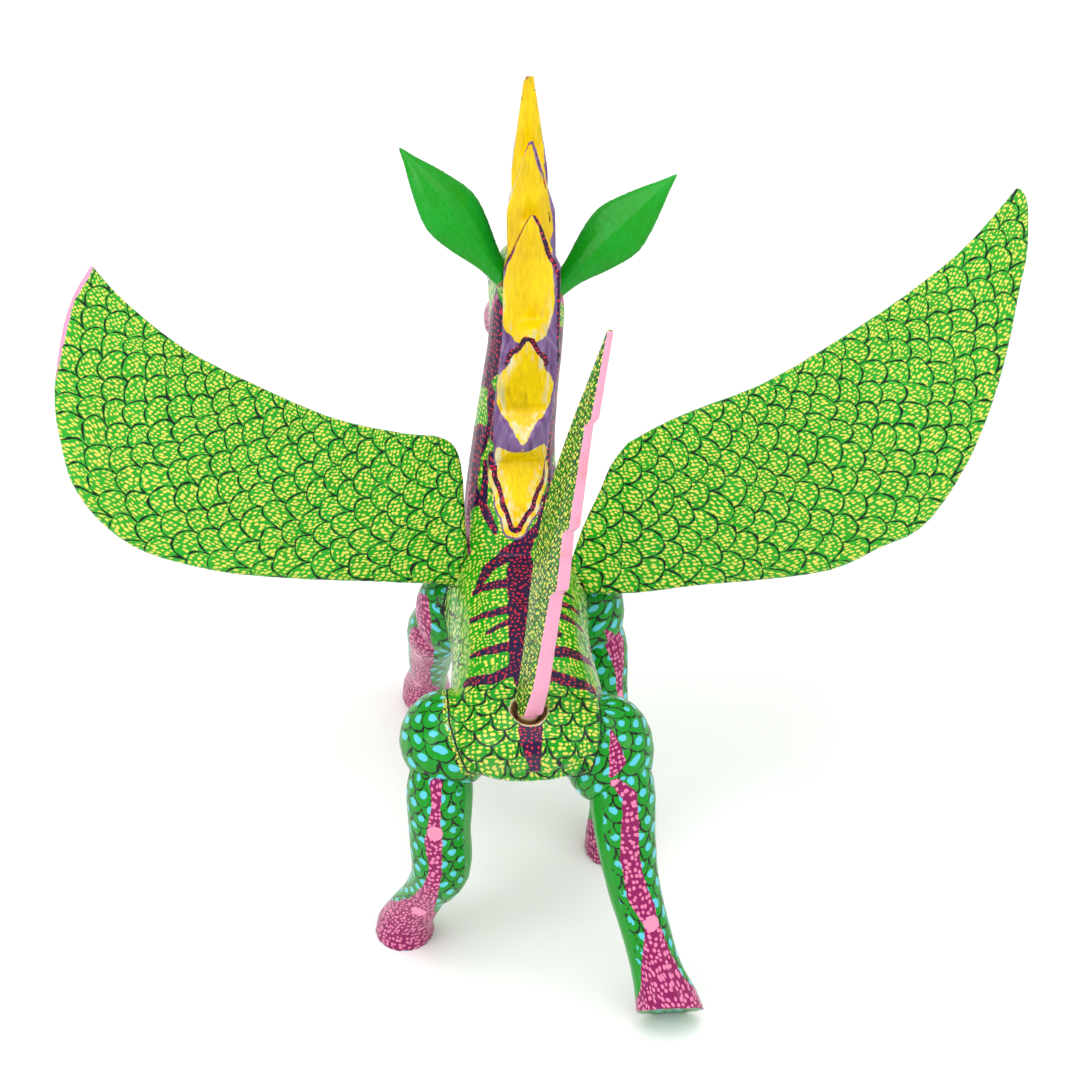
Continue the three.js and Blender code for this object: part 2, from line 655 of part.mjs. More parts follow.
add('carved_body', carved, GREEN);
for (const [name, shape] of Object.entries(LEGS)) add(name, leg(shape), PURPLE_BAND);
add('left_wing', wing(LEFT_WING, nearBody), GREEN, wingFrame(LEFT_WING));
add('right_wing', wing(RIGHT_WING, nearBody), GREEN, wingFrame(RIGHT_WING));
add('left_ear', ear(LEFT_EAR, nearBody), DEEP_GREEN, earFrame(LEFT_EAR));
add('right_ear', ear(RIGHT_EAR, nearBody), DEEP_GREEN, earFrame(RIGHT_EAR));
add('tail', tail(), GREEN, tailFrame());

// The origin is on the ground under the middle of the figure's bounding box.
const box = new THREE.Box3().setFromObject(figure, true);
figure.position.set(-(box.min.x + box.max.x) / 2, -(box.min.y + box.max.y) / 2, -box.min.z);

export default figure;
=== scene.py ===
import math
import bpy
import numpy as np
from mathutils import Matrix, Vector, noise


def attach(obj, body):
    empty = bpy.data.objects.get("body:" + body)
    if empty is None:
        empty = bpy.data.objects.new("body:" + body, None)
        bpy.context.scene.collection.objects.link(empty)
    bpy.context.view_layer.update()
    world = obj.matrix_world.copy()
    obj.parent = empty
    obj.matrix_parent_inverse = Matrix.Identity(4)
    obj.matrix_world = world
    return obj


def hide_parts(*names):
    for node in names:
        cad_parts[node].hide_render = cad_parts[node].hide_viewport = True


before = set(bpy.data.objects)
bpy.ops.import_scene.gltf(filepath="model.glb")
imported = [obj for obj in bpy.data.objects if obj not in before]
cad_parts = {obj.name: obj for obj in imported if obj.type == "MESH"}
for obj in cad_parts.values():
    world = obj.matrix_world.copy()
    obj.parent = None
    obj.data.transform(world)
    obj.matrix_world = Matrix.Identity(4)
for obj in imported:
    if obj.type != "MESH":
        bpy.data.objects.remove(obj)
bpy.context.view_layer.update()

# ---- Camera ----
# It stands behind the horse and a little to its left, looking down on its back
# at 35 degrees from just over a metre away.
CAMERA_TARGET = Vector((0.0048, 0.02166, 0.1503))
CAMERA_BACK = Vector((0.05714, 0.81716, 0.57358))
CAMERA_DISTANCE = 1.1
camera_data = bpy.data.cameras.new("camera")
camera_data.sensor_width = 36
camera_data.lens = 107.84
camera = bpy.data.objects.new("camera", camera_data)
camera.location = CAMERA_TARGET + CAMERA_BACK * CAMERA_DISTANCE
camera.rotation_euler = CAMERA_BACK.to_track_quat("Z", "Y").to_euler()
bpy.context.scene.collection.objects.link(camera)
bpy.context.scene.camera = camera

# ---- Studio ----
# A white table under a wide soft lamp overhead, weaker ones to the left and right and an
# even pale surround, so the figure throws only a faint soft shadow.
bpy.context.scene.view_settings.view_transform = "Standard"


def place(tree, kind, inputs=None, **settings):
    """One node in a shader tree, with its settings and its inputs filled or joined."""
    node = tree.nodes.new(kind)
    for name, value in settings.items():
        setattr(node, name, value)
    for name, value in (inputs or {}).items():
        if isinstance(value, bpy.types.NodeSocket):
            tree.links.new(value, node.inputs[name])
        else:
            node.inputs[name].default_value = value
    return node


VARNISH_DEPTH = 0.8  # varnish deepens every colour under it


def colour(red, green, blue):
    """A pot of paint, from its 0 to 255 screen values, as it looks once varnished."""
    shares = [value / 255 for value in (red, green, blue)]
    linear = [s / 12.92 if s <= 0.04045 else ((s + 0.055) / 1.055) ** 2.4 for s in shares]
    return (*[VARNISH_DEPTH * s for s in linear], 1)


world = bpy.data.worlds.new("studio")
world.use_nodes = True
world.node_tree.nodes["Background"].inputs["Color"].default_value = (1, 1, 1, 1)
world.node_tree.nodes["Background"].inputs["Strength"].default_value = 0.9
bpy.context.scene.world = world

for name, spot, size, watts in (
    ("overhead", (0.1, 0.25, 1.5), 1.4, 10),
    ("left_side", (1.2, 0.9, 1.0), 0.9, 7),
    ("right_side", (-1.3, 0.7, 0.9), 0.8, 4),
):
    lamp_data = bpy.data.lights.new(name, "AREA")
    lamp_data.shape = "DISK"
    lamp_data.size = size
    lamp_data.energy = watts
    lamp = bpy.data.objects.new(name, lamp_data)
    lamp.location = spot
    lamp.rotation_euler = (Vector(spot) - CAMERA_TARGET).to_track_quat("Z", "Y").to_euler()
    bpy.context.scene.collection.objects.link(lamp)

table_mesh = bpy.data.meshes.new("table_top")
TABLE_REACH = 6
table_mesh.from_pydata(
    [(-TABLE_REACH, -TABLE_REACH, 0), (TABLE_REACH, -TABLE_REACH, 0),
     (TABLE_REACH, TABLE_REACH, 0), (-TABLE_REACH, TABLE_REACH, 0)], [], [(0, 1, 2, 3)])
table_top = bpy.data.objects.new("table_top", table_mesh)
bpy.context.scene.collection.objects.link(table_top)
table_finish = bpy.data.materials.new("white_table")
table_finish.use_nodes = True
table_shader = table_finish.node_tree.nodes["Principled BSDF"]
table_shader.inputs["Roughness"].default_value = 0.7
table_grain = place(table_finish.node_tree, "ShaderNodeTexNoise", {"Scale": 6.0})
table_tone = place(table_finish.node_tree, "ShaderNodeMix",
                   {0: table_grain.outputs["Fac"], 6: (0.93, 0.93, 0.93, 1), 7: (0.96, 0.96, 0.96, 1)},
                   data_type="RGBA")
table_finish.node_tree.links.new(table_tone.outputs[2], table_shader.inputs["Base Color"])
table_mesh.materials.append(table_finish)

# ---- Carved body ----
# Trunk, neck, head and mane are one block of soft copal wood, roughed out with a machete and
# finished with a knife, sanded, primed, painted with acrylics and varnished.
BODY_X = 10.8  # the middle of the trunk, mm
TRUNK_HEIGHT = 93
TRUNK_RADIUS = 25
WITHERS_HEIGHT = 119
BULGE_RADIUS = 17  # haunches and shoulders
BULGE_SIZE = 14
SHOULDER_EDGE = 17  # the shoulders' scales begin this far from the middle
WANDER = 9  # size of the wanders in a painted boundary
NECK_RADIUS = 15
HEAD_RADIUS = 11
FAR = 9.0  # a place is this far from a brush stroke, or farther, mm


def smooth_step(value, low, high):
    share = np.clip((value - low) / (high - low), 0, 1)
    return share * share * (3 - 2 * share)


def around(values, edges):
    """The mean of the values at each point's neighbours along the mesh's edges."""
    first, second = edges.T
    count = len(values)
    sums = [np.bincount(first, column[second], count) + np.bincount(second, column[first], count)
            for column in values.reshape(count, -1).T]
    neighbours = np.maximum(np.bincount(edges.ravel(), minlength=count), 1)
    return (np.array(sums) / neighbours).T.reshape(values.shape)


PUSH_IN, PUSH_OUT = 0.5, -0.53  # each round of sanding, then giving back the size it took


def eased(points, edges, share, rounds):
    """Evens out a mesh without shrinking it; `share` says how much each point gives way."""
    for push in (PUSH_IN, PUSH_OUT) * rounds:
        points = points + push * share[:, None] * (around(points, edges) - points)
    return points


def point_normals(mesh):
    normals = np.empty(len(mesh.vertices) * 3)
    mesh.vertices.foreach_get("normal", normals)
    return normals.reshape(-1, 3)


KNIFE_FLAT = 7  # size of the flats that the knife leaves, mm


def whittled(node, name, grain, rounds, knife, give=None):
    """A copy of one solid with its facets eased into knife-cut, sanded wood.

    `grain` is the size of the new faces and `knife` the depth of the tool's flats, both in mm.
    `give` says how much of the sanding each point takes, all of it if there is none.
    """
    piece = bpy.data.objects.new(name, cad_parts[node].data.copy())
    bpy.context.scene.collection.objects.link(piece)
    remesh = piece.modifiers.new("even_faces", "REMESH")
    remesh.mode = "VOXEL"
    remesh.voxel_size = grain / 1000
    evaluated = piece.evaluated_get(bpy.context.evaluated_depsgraph_get())
    mesh = bpy.data.meshes.new_from_object(evaluated)
    piece.modifiers.clear()
    piece.data = mesh
    mesh.name = name
    mesh.materials.clear()
    points = np.empty(len(mesh.vertices) * 3)
    mesh.vertices.foreach_get("co", points)
    points = points.reshape(-1, 3) * 1000
    edges = np.empty(len(mesh.edges) * 2, dtype=np.int32)
    mesh.edges.foreach_get("vertices", edges)
    edges = edges.reshape(-1, 2)
    share = give(points) if give else np.ones(len(points))
    points = eased(points, edges, np.ones(len(points)), 3)
    points = eased(points, edges, share, rounds)
    flats = np.array([noise.noise(Vector(point) / KNIFE_FLAT) for point in points])
    points += point_normals(mesh) * (flats * knife * share)[:, None]
    mesh.vertices.foreach_set("co", (points / 1000).ravel())
    mesh.polygons.foreach_set("use_smooth", [True] * len(mesh.polygons))
    mesh.update()
    return piece, points, edges


def keep(mesh, name, values):
    """Stores one number for each point of the mesh, for the paint to read."""
    layer = mesh.attributes.new(name, "FLOAT", "POINT")
    layer.data.foreach_set("value", np.asarray(values, dtype=np.float32))


def stroke(points, *line):
    """Distance in mm to the edge of a tapering brush stroke, negative inside.

    Its line is given as (x, y, z, half width) at each bend, and a single place makes a round spot.
    """
    line = np.array(line, dtype=float)
    nearest = np.full(len(points), 1e3)
    if len(line) == 1:
        return np.linalg.norm(points - line[0, :3], axis=1) - line[0, 3]
    for start, end in zip(line[:-1], line[1:]):
        run = end[:3] - start[:3]
        along = np.clip((points - start[:3]) @ run / (run @ run), 0, 1)
        gap = np.linalg.norm(points - start[:3] - along[:, None] * run, axis=1)
        nearest = np.minimum(nearest, gap - start[3] - along * (end[3] - start[3]))
    return nearest


HARD_EDGE = 0.06  # how far a point on a hard edge stands out from its neighbours, mm


def edge_wear(points, edges, normals):
    """How sharply the surface turns outward, 0 on the flats to 1 on a hard edge."""
    turn = ((points - around(points, edges)) * normals).sum(1)
    for _ in range(4):
        turn = around(turn, edges)
    return np.clip(turn / HARD_EDGE, 0, 1)


# middle and half sizes of the swellings that carry the legs, left and right, mm
HAUNCHES = {1: ((38.3, 50.7, 89), (17, 19, 17)), -1: ((-16.2, 55.7, 85), (16, 17, 19.5))}
SHOULDERS = {1: ((35.8, -27.3, 86), (11, 14, 18)), -1: ((-16.7, -24.3, 86), (12.5, 14, 18))}


def crest_share(points):
    """The mane's locks keep the crisp edges that the knife left."""
    x, y, z = points.T
    crest = stroke(points, (11, -14, 122, 9), (7.5, -26, 160, 13), (6, -30, 185, 13),
                   (5, -36, 215, 13), (4, -46, 250, 13), (3, -54, 290, 10))
    return 0.12 + 0.88 * smooth_step(crest, -1, 3)


body, points, edges = whittled(
    "carved_body", "body_carving", grain=0.85, rounds=34, knife=0.16, give=crest_share)
normals = point_normals(body.data)
x, y, z = points.T
sideways = x - BODY_X
lean = -7.5 * smooth_step(z, 128, 211)  # the neck leans to the right on its way up
unsteady = np.array([noise.noise(Vector(point) / WANDER) for point in points])

# the spine and ribs run in plum over the back, with a tongue below the tail
spine = stroke(points, (8, -13, 126, 3), (10, -2, 121, 4.4), (10.5, 6, 120.5, 4.4), (11, 13.5, 119.5, 3.8),
               (12, 23, 118, 3.4), (12.5, 35.5, 116.5, 3.2), (13.5, 44.5, 115, 3.2), (12, 56, 113, 2.4))
ribs = np.minimum.reduce([
    stroke(points, (12, -11, 123, 2.2), (21, -6, 119.5, 1.8), (25, 1.5, 116.5, 0.5)),
    stroke(points, (10, -14, 125, 1.6), (17, -17, 128, 1.3), (22, -23, 135, 1), (21, -30, 148, 0.8)),
    stroke(points, (8, -14, 126, 1.6), (2, -17, 129, 1.3), (-2, -23, 137, 1), (-3, -29, 148, 0.8)),
    stroke(points, (13.5, 4.5, 120, 1.5), (20.5, 3.5, 119, 1.2), (26.5, 2.5, 115.5, 0.4)),
    stroke(points, (14, 17.5, 118.5, 1.3), (21, 17.5, 117, 0.9), (28.5, 15.5, 113, 0.3)),
    stroke(points, (15, 23.5, 117.5, 0.7), (23, 26, 115.5, 0.15)),
    stroke(points, (15, 36, 116.5, 1.7), (22, 35.5, 115, 1.2), (29, 33.5, 111, 0.3)),
    stroke(points, (13, 46, 114.5, 1.8), (23, 49, 112.5, 1.6), (31.5, 45, 108.5, 1.1)),
    stroke(points, (6, 6, 119, 1.6), (-1, 5, 117, 1.2), (-7, 4, 112, 0.4)),
    stroke(points, (7, 15, 119, 1.2), (-1.5, 12, 117, 0.9), (-9.5, 9.5, 110, 0.3)),
    stroke(points, (8, 22, 118, 1.2), (-1, 18.5, 116.5, 1), (-10, 17.5, 108.5, 0.3)),
    stroke(points, (8, 31, 116, 1.2), (0.5, 29, 115.5, 0.9), (-13, 21.5, 102, 0.4)),
    stroke(points, (8, 41, 115, 2.2), (2.5, 38, 115.5, 2.1), (-6.5, 36, 111.5, 1.5), (-14, 33, 103, 0.4)),
    stroke(points, (8, 50, 114, 2), (4.5, 49, 114, 2), (-4, 51, 111.5, 1.9), (-11, 49.5, 107, 1.4)),
    stroke(points, (8.5, 63, 107, 1.6), (11.5, 72, 108, 3.2), (11.5, 75, 106, 2.8),
           (11, 77.5, 101.5, 1.9), (9.5, 73, 88, 0.4)),
])
SPINE_SPREAD, RIB_SPREAD = 0.5, 0.95  # the loaded brush spreads this far past its line
plum = np.minimum(spine - SPINE_SPREAD, ribs - RIB_SPREAD)

# the line where the rump's yellow dots end and the haunches' blue ones begin
widening = np.clip((z - 86) / 18, 0, 1)
rump_edge = np.where(sideways > 0, 21 + 6.5 * widening, 19.5 + 4.5 * widening) - 0.9 * np.clip(88 - z, 0, 12)
rump_trim = np.where((sideways > 0) & (y > 40) & (z > 72), np.abs(sideways - rump_edge - 1) - 0.7, FAR)

# `along` and `across` are the places of the patterns in mm: round the trunk and down over the rump,
# then round each haunch and shoulder, up the neck and along the head
above_axis = z - TRUNK_HEIGHT
over_rump = smooth_step(y, 40, 50)
along = y - over_rump * above_axis - np.where(y < 20, np.maximum(z - WITHERS_HEIGHT, 0), 0)
turn = np.arctan2(sideways, np.maximum(above_axis, -30))
girth = np.clip(np.hypot(sideways, above_axis), TRUNK_RADIUS, 45)
on_rump = smooth_step(y, 38, 52)
across = turn * girth * (1 - on_rump) + sideways * on_rump
flank = smooth_step(np.abs(sideways), 17, 23) * (1 - smooth_step(y, 30, 46)) * smooth_step(-z, -118, -110)
haunch = np.full(len(points), -FAR)
shoulder = np.full(len(points), -FAR)
for side in (1, -1):
    for bulges, field, reach, inner in ((HAUNCHES, haunch, 1.17, 20), (SHOULDERS, shoulder, 1.1, 12)):
        middle, half = bulges[side]
        swell = np.linalg.norm((points - middle) / half, axis=1)
        inward = np.abs(sideways) - (rump_edge if bulges is HAUNCHES else SHOULDER_EDGE)
        inside = np.minimum(inward, (reach - swell) * BULGE_SIZE)
        inside = np.where(side * sideways > 0, inside, -FAR)
        here = inside > 0
        out = np.hypot(sideways - side * inner, y - middle[1])
        angle = np.arctan2(y - middle[1], side * sideways - inner)
        along = np.where(here, out - z, along)
        across = np.where(here, angle * BULGE_RADIUS, across)
        field[:] = np.maximum(field, inside)
# the neck's paint begins at a slope from the withers down to the chest
neck = 0.5 * (z - 140 - 0.9 * (y + 16)) + 2.5 * unsteady
neck_axis = -22 - 31 * (z - 96) / 110
on_neck = (neck > 0) & (haunch < 0)
neck_turn = np.arctan2(sideways - lean, -(y - neck_axis))
along = np.where(on_neck, -z, along)
across = np.where(on_neck, neck_turn * NECK_RADIUS, across)
# the head's begins behind the cheek, and its pattern runs from the poll to the muzzle
head = np.minimum(-60 - y + 0.3 * (z - 190), z - 150) + 2.5 * unsteady
down_face = np.array((0, -0.77, -0.64))
over_brow = np.array((0, -0.64, 0.77))
from_poll = points - np.stack([BODY_X + lean, np.full(len(z), -53.0), np.full(len(z), 200.0)], 1)
on_head = head > 0
along = np.where(on_head, from_poll @ down_face, along)
across = np.where(on_head, np.arctan2(from_poll[:, 0], from_poll @ over_brow + 2) * HEAD_RADIUS, across)

# the mane's locks: purple flanks painted with a lilac sheen, and a yellow face on each, from the top one down
crest = stroke(points, (11, -14, 124, 6), (9.5, -19, 139, 9.3), (7.5, -26, 160, 10.6), (6, -30, 185, 10.8),
               (5, -35, 215, 10), (4, -43, 250, 9), (3.5, -52, 288, 6))
second_yellow = stroke(points, (3.5, -42, 267, 0.8), (4.5, -41.5, 254.5, 5.4), (5, -41, 247, 7.4),
                       (6, -37.5, 236, 9.8), (6, -36, 226, 10.8))
upper_yellow = np.minimum.reduce([
    stroke(points, (3.2, -52.3, 285, 4.2), (3.5, -51.5, 276, 5.2), (4, -50, 266, 6.2), (4.5, -46, 250, 8.4),
           (5, -42, 236, 10)), second_yellow])
upper_yellow += 0.9 * smooth_step(4 - x, 0, 4)  # its right edges show the lilac below
third_yellow = stroke(points, (3.7, -33.5, 244.5, 0.7), (4, -33, 240, 2.8), (4.5, -33, 232, 5.2),
                      (4.5, -33, 222.5, 8.4), (5.5, -32.5, 212.5, 9.8), (6, -31, 207, 9.4))
fourth_yellow = stroke(points, (5.5, -25.5, 200, 0.8), (6, -27, 190, 6), (6.5, -28.5, 180, 10),
                       (7, -29.5, 174.5, 9.4), (7.5, -27.5, 167, 4.6), (8, -21, 158, 0.5))
low_yellow = stroke(points, (8, -25, 153, 9.6), (8.5, -25, 147, 8.2), (9.5, -19.5, 139, 5),
                    (11, -14.5, 131.5, 0.9))
low_yellow = np.where(z > 157, np.maximum(low_yellow, (z - 157) * 2), low_yellow)
spike_tip = np.minimum(stroke(points, (1.5, -53, 291, 2.6)),
                       stroke(points, (-0.6, -50.5, 288, 1), (-3, -48, 262, 0.7)))


def band(distance, middle, half):
    """A line that follows a stroke's edge at a distance, as its own distance in mm."""
    return np.abs(distance - middle) - half


yellow = np.minimum.reduce([
    np.maximum(upper_yellow, 1.5 - third_yellow), third_yellow, fourth_yellow, low_yellow,
    np.where(z < 148, band(low_yellow, 2.6, 0.9), FAR)])
crest = np.minimum(crest, 223 - z + 3 * unsteady)  # the tall locks are lilac in front too
crest = np.where(z < 142, np.maximum(crest, low_yellow - 4.2), crest)
mane_line = np.minimum.reduce([
    np.maximum(band(second_yellow, 0.2, 0.2), (238 - z) * 0.3),
    np.maximum(band(third_yellow, 0.8, 0.8), (222 - z) * 0.1),
    np.maximum(band(fourth_yellow, 0.9, 0.9), (189 - z) * 0.2),
    np.where(z < 150, band(low_yellow, 0.9, 0.9), FAR), spike_tip])

# flames that run down into the legs, stripes at the wing and ear roots, and the muzzle
magenta = np.minimum.reduce([
    stroke(points, (-16.5, 64.5, 100, 0.6), (-17.5, 69, 95.5, 2.2), (-18, 71, 92, 2.9), (-16, 72.5, 87.5, 1)),
    stroke(points, (-17.5, 73, 84, 2.2), (-22, 74.5, 80, 3.2)),
    stroke(points, (43.5, 69, 84, 1), (43.5, 70, 80, 2.6)),
    stroke(points, (45, -18, 101, 3), (50, -20, 90, 10), (50, -28, 72, 12)),
    stroke(points, (-21.5, -11, 86, 0.8), (-26, -13, 78, 3), (-27, -14, 70, 5)),
    stroke(points, (26.5, -36, 140, 1.5), (27, -31.5, 132, 2.6), (27.5, -25, 121, 2.6), (26, -19, 116, 1)),
    stroke(points, (17, -50, 206, 2.6), (15, -54, 196, 0.8)),
    stroke(points, (-8, -50, 203, 2.6), (-8, -54, 194, 0.8)),
    stroke(points, (7.2, -99, 166, 11), (7.8, -109, 158, 13)),
])
pink_spot = np.minimum.reduce([
    stroke(points, (-17.5, 73.5, 84, 1.9)), stroke(points, (27.6, -25, 122.5, 2)),
    stroke(points, (46.5, -17.5, 86, 2.6))])

# a generic horse's face: almond eyes, nostrils and a saw-cut mouth
EYES = ((14.9, -75.3, 198), (-7.3, -75.3, 198))
eye = np.minimum.reduce([
    stroke(points, (a, b + 4.6, c + 2.6, 0.2), (a, b, c, 2.7), (a, b - 4.4, c - 3.4, 0.2))
    for a, b, c in EYES])
pupil = np.minimum.reduce([stroke(points, (a, b - 0.3, c, 2.3)) for a, b, c in EYES])
glint = np.minimum.reduce([stroke(points, (a, b + 0.9, c + 1.5, 1.0)) for a, b, c in EYES])
nostril = np.minimum(stroke(points, (13.2, -107, 165.5, 1.9)), stroke(points, (2.2, -107, 165.5, 1.9)))

# bare wood down the bored holes of the tail and the ears
tail_hole = stroke(points, (16, 63, 84, 4.2), (12.2, 64.4, 106.5, 4.3), (11.6, 64.6, 110, 6.4))
ear_holes = np.minimum(stroke(points, (6.9, -44.7, 205.7, 3), (12.3, -48.3, 212, 3)),
                       stroke(points, (1.05, -45.06, 202.55, 3), (-5.7, -48.3, 207.5, 3)))
for name, values in {
    "along": along, "across": across, "worn": edge_wear(points, edges, normals),
    "plum": plum, "flank": flank, "scaled": np.maximum(smooth_step(y, 44, 49), flank),
    "haunch": haunch, "shoulder": shoulder, "rump_trim": rump_trim, "neck": neck, "head": head,
    # the lower locks, below about 205 to 225 mm, get a painted cream sheen along the yellow's edges
    "crest": crest, "yellow": yellow, "low_locks_sheen": 1 - smooth_step(z, 205, 225), "mane_line": mane_line,
    "magenta": magenta, "pink_spot": pink_spot,
    "eye": eye, "pupil": pupil, "glint": glint, "nostril": nostril,
    "bare": np.minimum(tail_hole, ear_holes), "hole_rim": band(tail_hole, 0, 0.45),
}.items():
    keep(body.data, name, values)


def number(tree, operation, *values, clamp=False):
    """One sum on numbers that change over the surface."""
    node = place(tree, "ShaderNodeMath", dict(enumerate(values)), operation=operation, use_clamp=clamp)
    return node.outputs[0]


def mixed(tree, share, under, over):
    """One paint laid over another as far as `share` covers it."""
    return place(tree, "ShaderNodeMix", {0: share, 6: under, 7: over}, data_type="RGBA").outputs[2]


def below(tree, value, limit, soft=0.12):
    """A mask that is 1 where the value is under the limit, with a soft edge."""
    return number(tree, "MULTIPLY_ADD", value, -1 / soft, limit / soft + 0.5, clamp=True)


def stored(tree, name):
    return place(tree, "ShaderNodeAttribute", attribute_name=name).outputs["Fac"]


def cover(tree, *masks):
    """The area that all of several masks share."""
    whole = masks[0]
    for mask in masks[1:]:
        whole = number(tree, "MULTIPLY", whole, mask)
    return whole


def uncovered(tree, mask):
    return number(tree, "SUBTRACT", 1, mask)


def either(tree, mask, first, second):
    """The first number where the mask is 0, the second where it is 1."""
    return number(tree, "ADD", number(tree, "MULTIPLY", first, uncovered(tree, mask)),
                  number(tree, "MULTIPLY", second, mask))


def length_of(tree, first, second):
    """How long the line is that goes this far one way and this far square to it."""
    return number(tree, "SQRT", number(tree, "ADD", number(tree, "MULTIPLY", first, first),
                                       number(tree, "MULTIPLY", second, second)))


def new_group(name, inputs, outputs):
    """An empty shader group with named number, vector or colour sockets."""
    kinds = {"number": "NodeSocketFloat", "vector": "NodeSocketVector", "colour": "NodeSocketColor"}
    tree = bpy.data.node_groups.new(name, "ShaderNodeTree")
    for socket, (kind, start) in inputs.items():
        made = tree.interface.new_socket(socket, in_out="INPUT", socket_type=kinds[kind])
        if start is not None:
            made.default_value = start
    for socket, kind in outputs.items():
        tree.interface.new_socket(socket, in_out="OUTPUT", socket_type=kinds[kind])
    entry = tree.nodes.new("NodeGroupInput")
    leave = tree.nodes.new("NodeGroupOutput")
    return tree, entry.outputs, leave.inputs


def fill(tree, group, inputs):
    node = tree.nodes.new("ShaderNodeGroup")
    node.node_tree = group
    for name, value in inputs.items():
        if isinstance(value, bpy.types.NodeSocket):
            tree.links.new(value, node.inputs[name])
        else:
            node.inputs[name].default_value = value
    return node.outputs


# Overlapping fish scales: rows of round ends, each row set half a scale along from the last.
fish_scales, g, out = new_group(
    "fish_scales",
    {"Along": ("number", 0), "Across": ("number", 0),
     "Length": ("number", 4.8), "Width": ("number", 7.8)},
    {"Outline": "number", "Spot": "number", "Shade": "number"})
t = fish_scales
rows = number(t, "DIVIDE", g["Along"], g["Length"])
row = number(t, "FLOOR", rows)
rise = number(t, "SUBTRACT", rows, row)
shift = number(t, "MULTIPLY", number(t, "FLOORED_MODULO", row, 2.0), 0.5)
places = number(t, "DIVIDE", g["Across"], g["Width"])


def scale_place(shift_by):
    """Whole number of the scale across, and the place within it from -1 to 1."""
    whole = number(t, "FLOOR", number(t, "ADD", places, shift_by))
    within = number(t, "SUBTRACT", number(t, "ADD", places, shift_by), whole)
    return whole, number(t, "MULTIPLY_ADD", within, 2.0, -1.0)


column, local = scale_place(shift)
next_column, next_local = scale_place(number(t, "SUBTRACT", 0.5, shift))
reach = length_of(t, rise, local)
outside = number(t, "GREATER_THAN", reach, 1.0)
scale_rise = number(t, "SUBTRACT", rise, outside)
scale_local = either(t, outside, local, next_local)
scale_column = either(t, outside, column, next_column)
half_width = number(t, "MULTIPLY", g["Width"], 0.5)
off_line = number(t, "ABSOLUTE", number(t, "SUBTRACT", reach, 1.0))
t.links.new(number(t, "MULTIPLY", off_line, half_width), out["Outline"])
spot_rise = number(t, "MULTIPLY", number(t, "SUBTRACT", scale_rise, 0.12), g["Length"])
spot_side = number(t, "MULTIPLY", scale_local, half_width)
t.links.new(length_of(t, spot_rise, spot_side), out["Spot"])
scale_name = place(t, "ShaderNodeCombineXYZ", {0: scale_column, 1: number(t, "ADD", row, outside)})
t.links.new(place(t, "ShaderNodeTexWhiteNoise", {"Vector": scale_name.outputs[0]},
                  noise_dimensions="2D").outputs["Value"], out["Shade"])

# Rows of small dots or dashes touched on with a fine brush.
brush_dots, g, out = new_group(
    "brush_dots",
    {"Along": ("number", 0), "Across": ("number", 0), "Spacing": ("number", 1.9),
     "Dash": ("number", 1), "Radius": ("number", 0.5), "Order": ("number", 0.3)},
    {"Mask": "number"})
t = brush_dots
dot_place = place(t, "ShaderNodeCombineXYZ", {
    0: number(t, "DIVIDE", g["Along"], number(t, "MULTIPLY", g["Spacing"], g["Dash"])),
    1: number(t, "DIVIDE", g["Across"], g["Spacing"])})
cells = place(t, "ShaderNodeTexVoronoi",
              {"Vector": dot_place.outputs[0], "Scale": 1.0,
               "Randomness": number(t, "SUBTRACT", 1.0, g["Order"])},
              voronoi_dimensions="2D", feature="F1")
cell_shade = place(t, "ShaderNodeTexWhiteNoise", {"Vector": cells.outputs["Position"]},
                   noise_dimensions="2D")
size = number(t, "MULTIPLY", g["Radius"], number(t, "MULTIPLY_ADD", cell_shade.outputs["Value"], 0.45, 0.78))
reach = number(t, "MULTIPLY", cells.outputs["Distance"], g["Spacing"])
DOT_SOFTNESS = 0.14  # mm over which a dot's edge fades
t.links.new(number(t, "MULTIPLY_ADD", number(t, "SUBTRACT", size, reach), 1 / DOT_SOFTNESS, 0.5, clamp=True),
            out["Mask"])

# The maker's unsteady hand: small wanders added to a painted line or to a pattern's places.
hand_wobble, g, out = new_group(
    "hand_wobble",
    {"Size": ("number", 5.0), "Amount": ("number", 0.8)},
    {"First": "number", "Second": "number"})
t = hand_wobble
spots = place(t, "ShaderNodeTexCoord").outputs["Object"]
wander = place(t, "ShaderNodeTexNoise", {
    "Vector": spots, "Scale": number(t, "DIVIDE", 1000.0, g["Size"]), "Detail": 1.0})
parts = place(t, "ShaderNodeSeparateColor", {"Color": wander.outputs["Color"]})
for socket, part in (("First", 0), ("Second", 1)):
    t.links.new(number(t, "MULTIPLY", number(t, "SUBTRACT", parts.outputs[part], 0.5),
                       number(t, "MULTIPLY", g["Amount"], 2.0)), out[socket])

# Brush streaks and thin places in one coat of acrylic.
brushed_coat, g, out = new_group(
    "brushed_coat",
    {"Paint": ("colour", None), "Thin": ("number", 0.15)},
    {"Colour": "colour"})
t = brushed_coat
spots = place(t, "ShaderNodeTexCoord").outputs["Object"]
drawn = place(t, "ShaderNodeMapping", {"Vector": spots})
drawn.inputs["Scale"].default_value = (1, 0.6, 0.2)
streaks = place(t, "ShaderNodeTexNoise", {"Vector": drawn.outputs[0], "Scale": 900.0, "Detail": 3.0})
patches = place(t, "ShaderNodeTexNoise", {"Vector": spots, "Scale": 70.0, "Detail": 2.0})
uneven = number(t, "MULTIPLY", number(t, "SUBTRACT", number(
    t, "ADD", streaks.outputs["Fac"], patches.outputs["Fac"]), 1.0), g["Thin"])
tone = place(t, "ShaderNodeHueSaturation", {
    "Hue": number(t, "MULTIPLY_ADD", uneven, 0.12, 0.5),
    "Value": number(t, "MULTIPLY_ADD", uneven, 2.4, 1.0), "Color": g["Paint"]})
t.links.new(tone.outputs[0], out["Colour"])

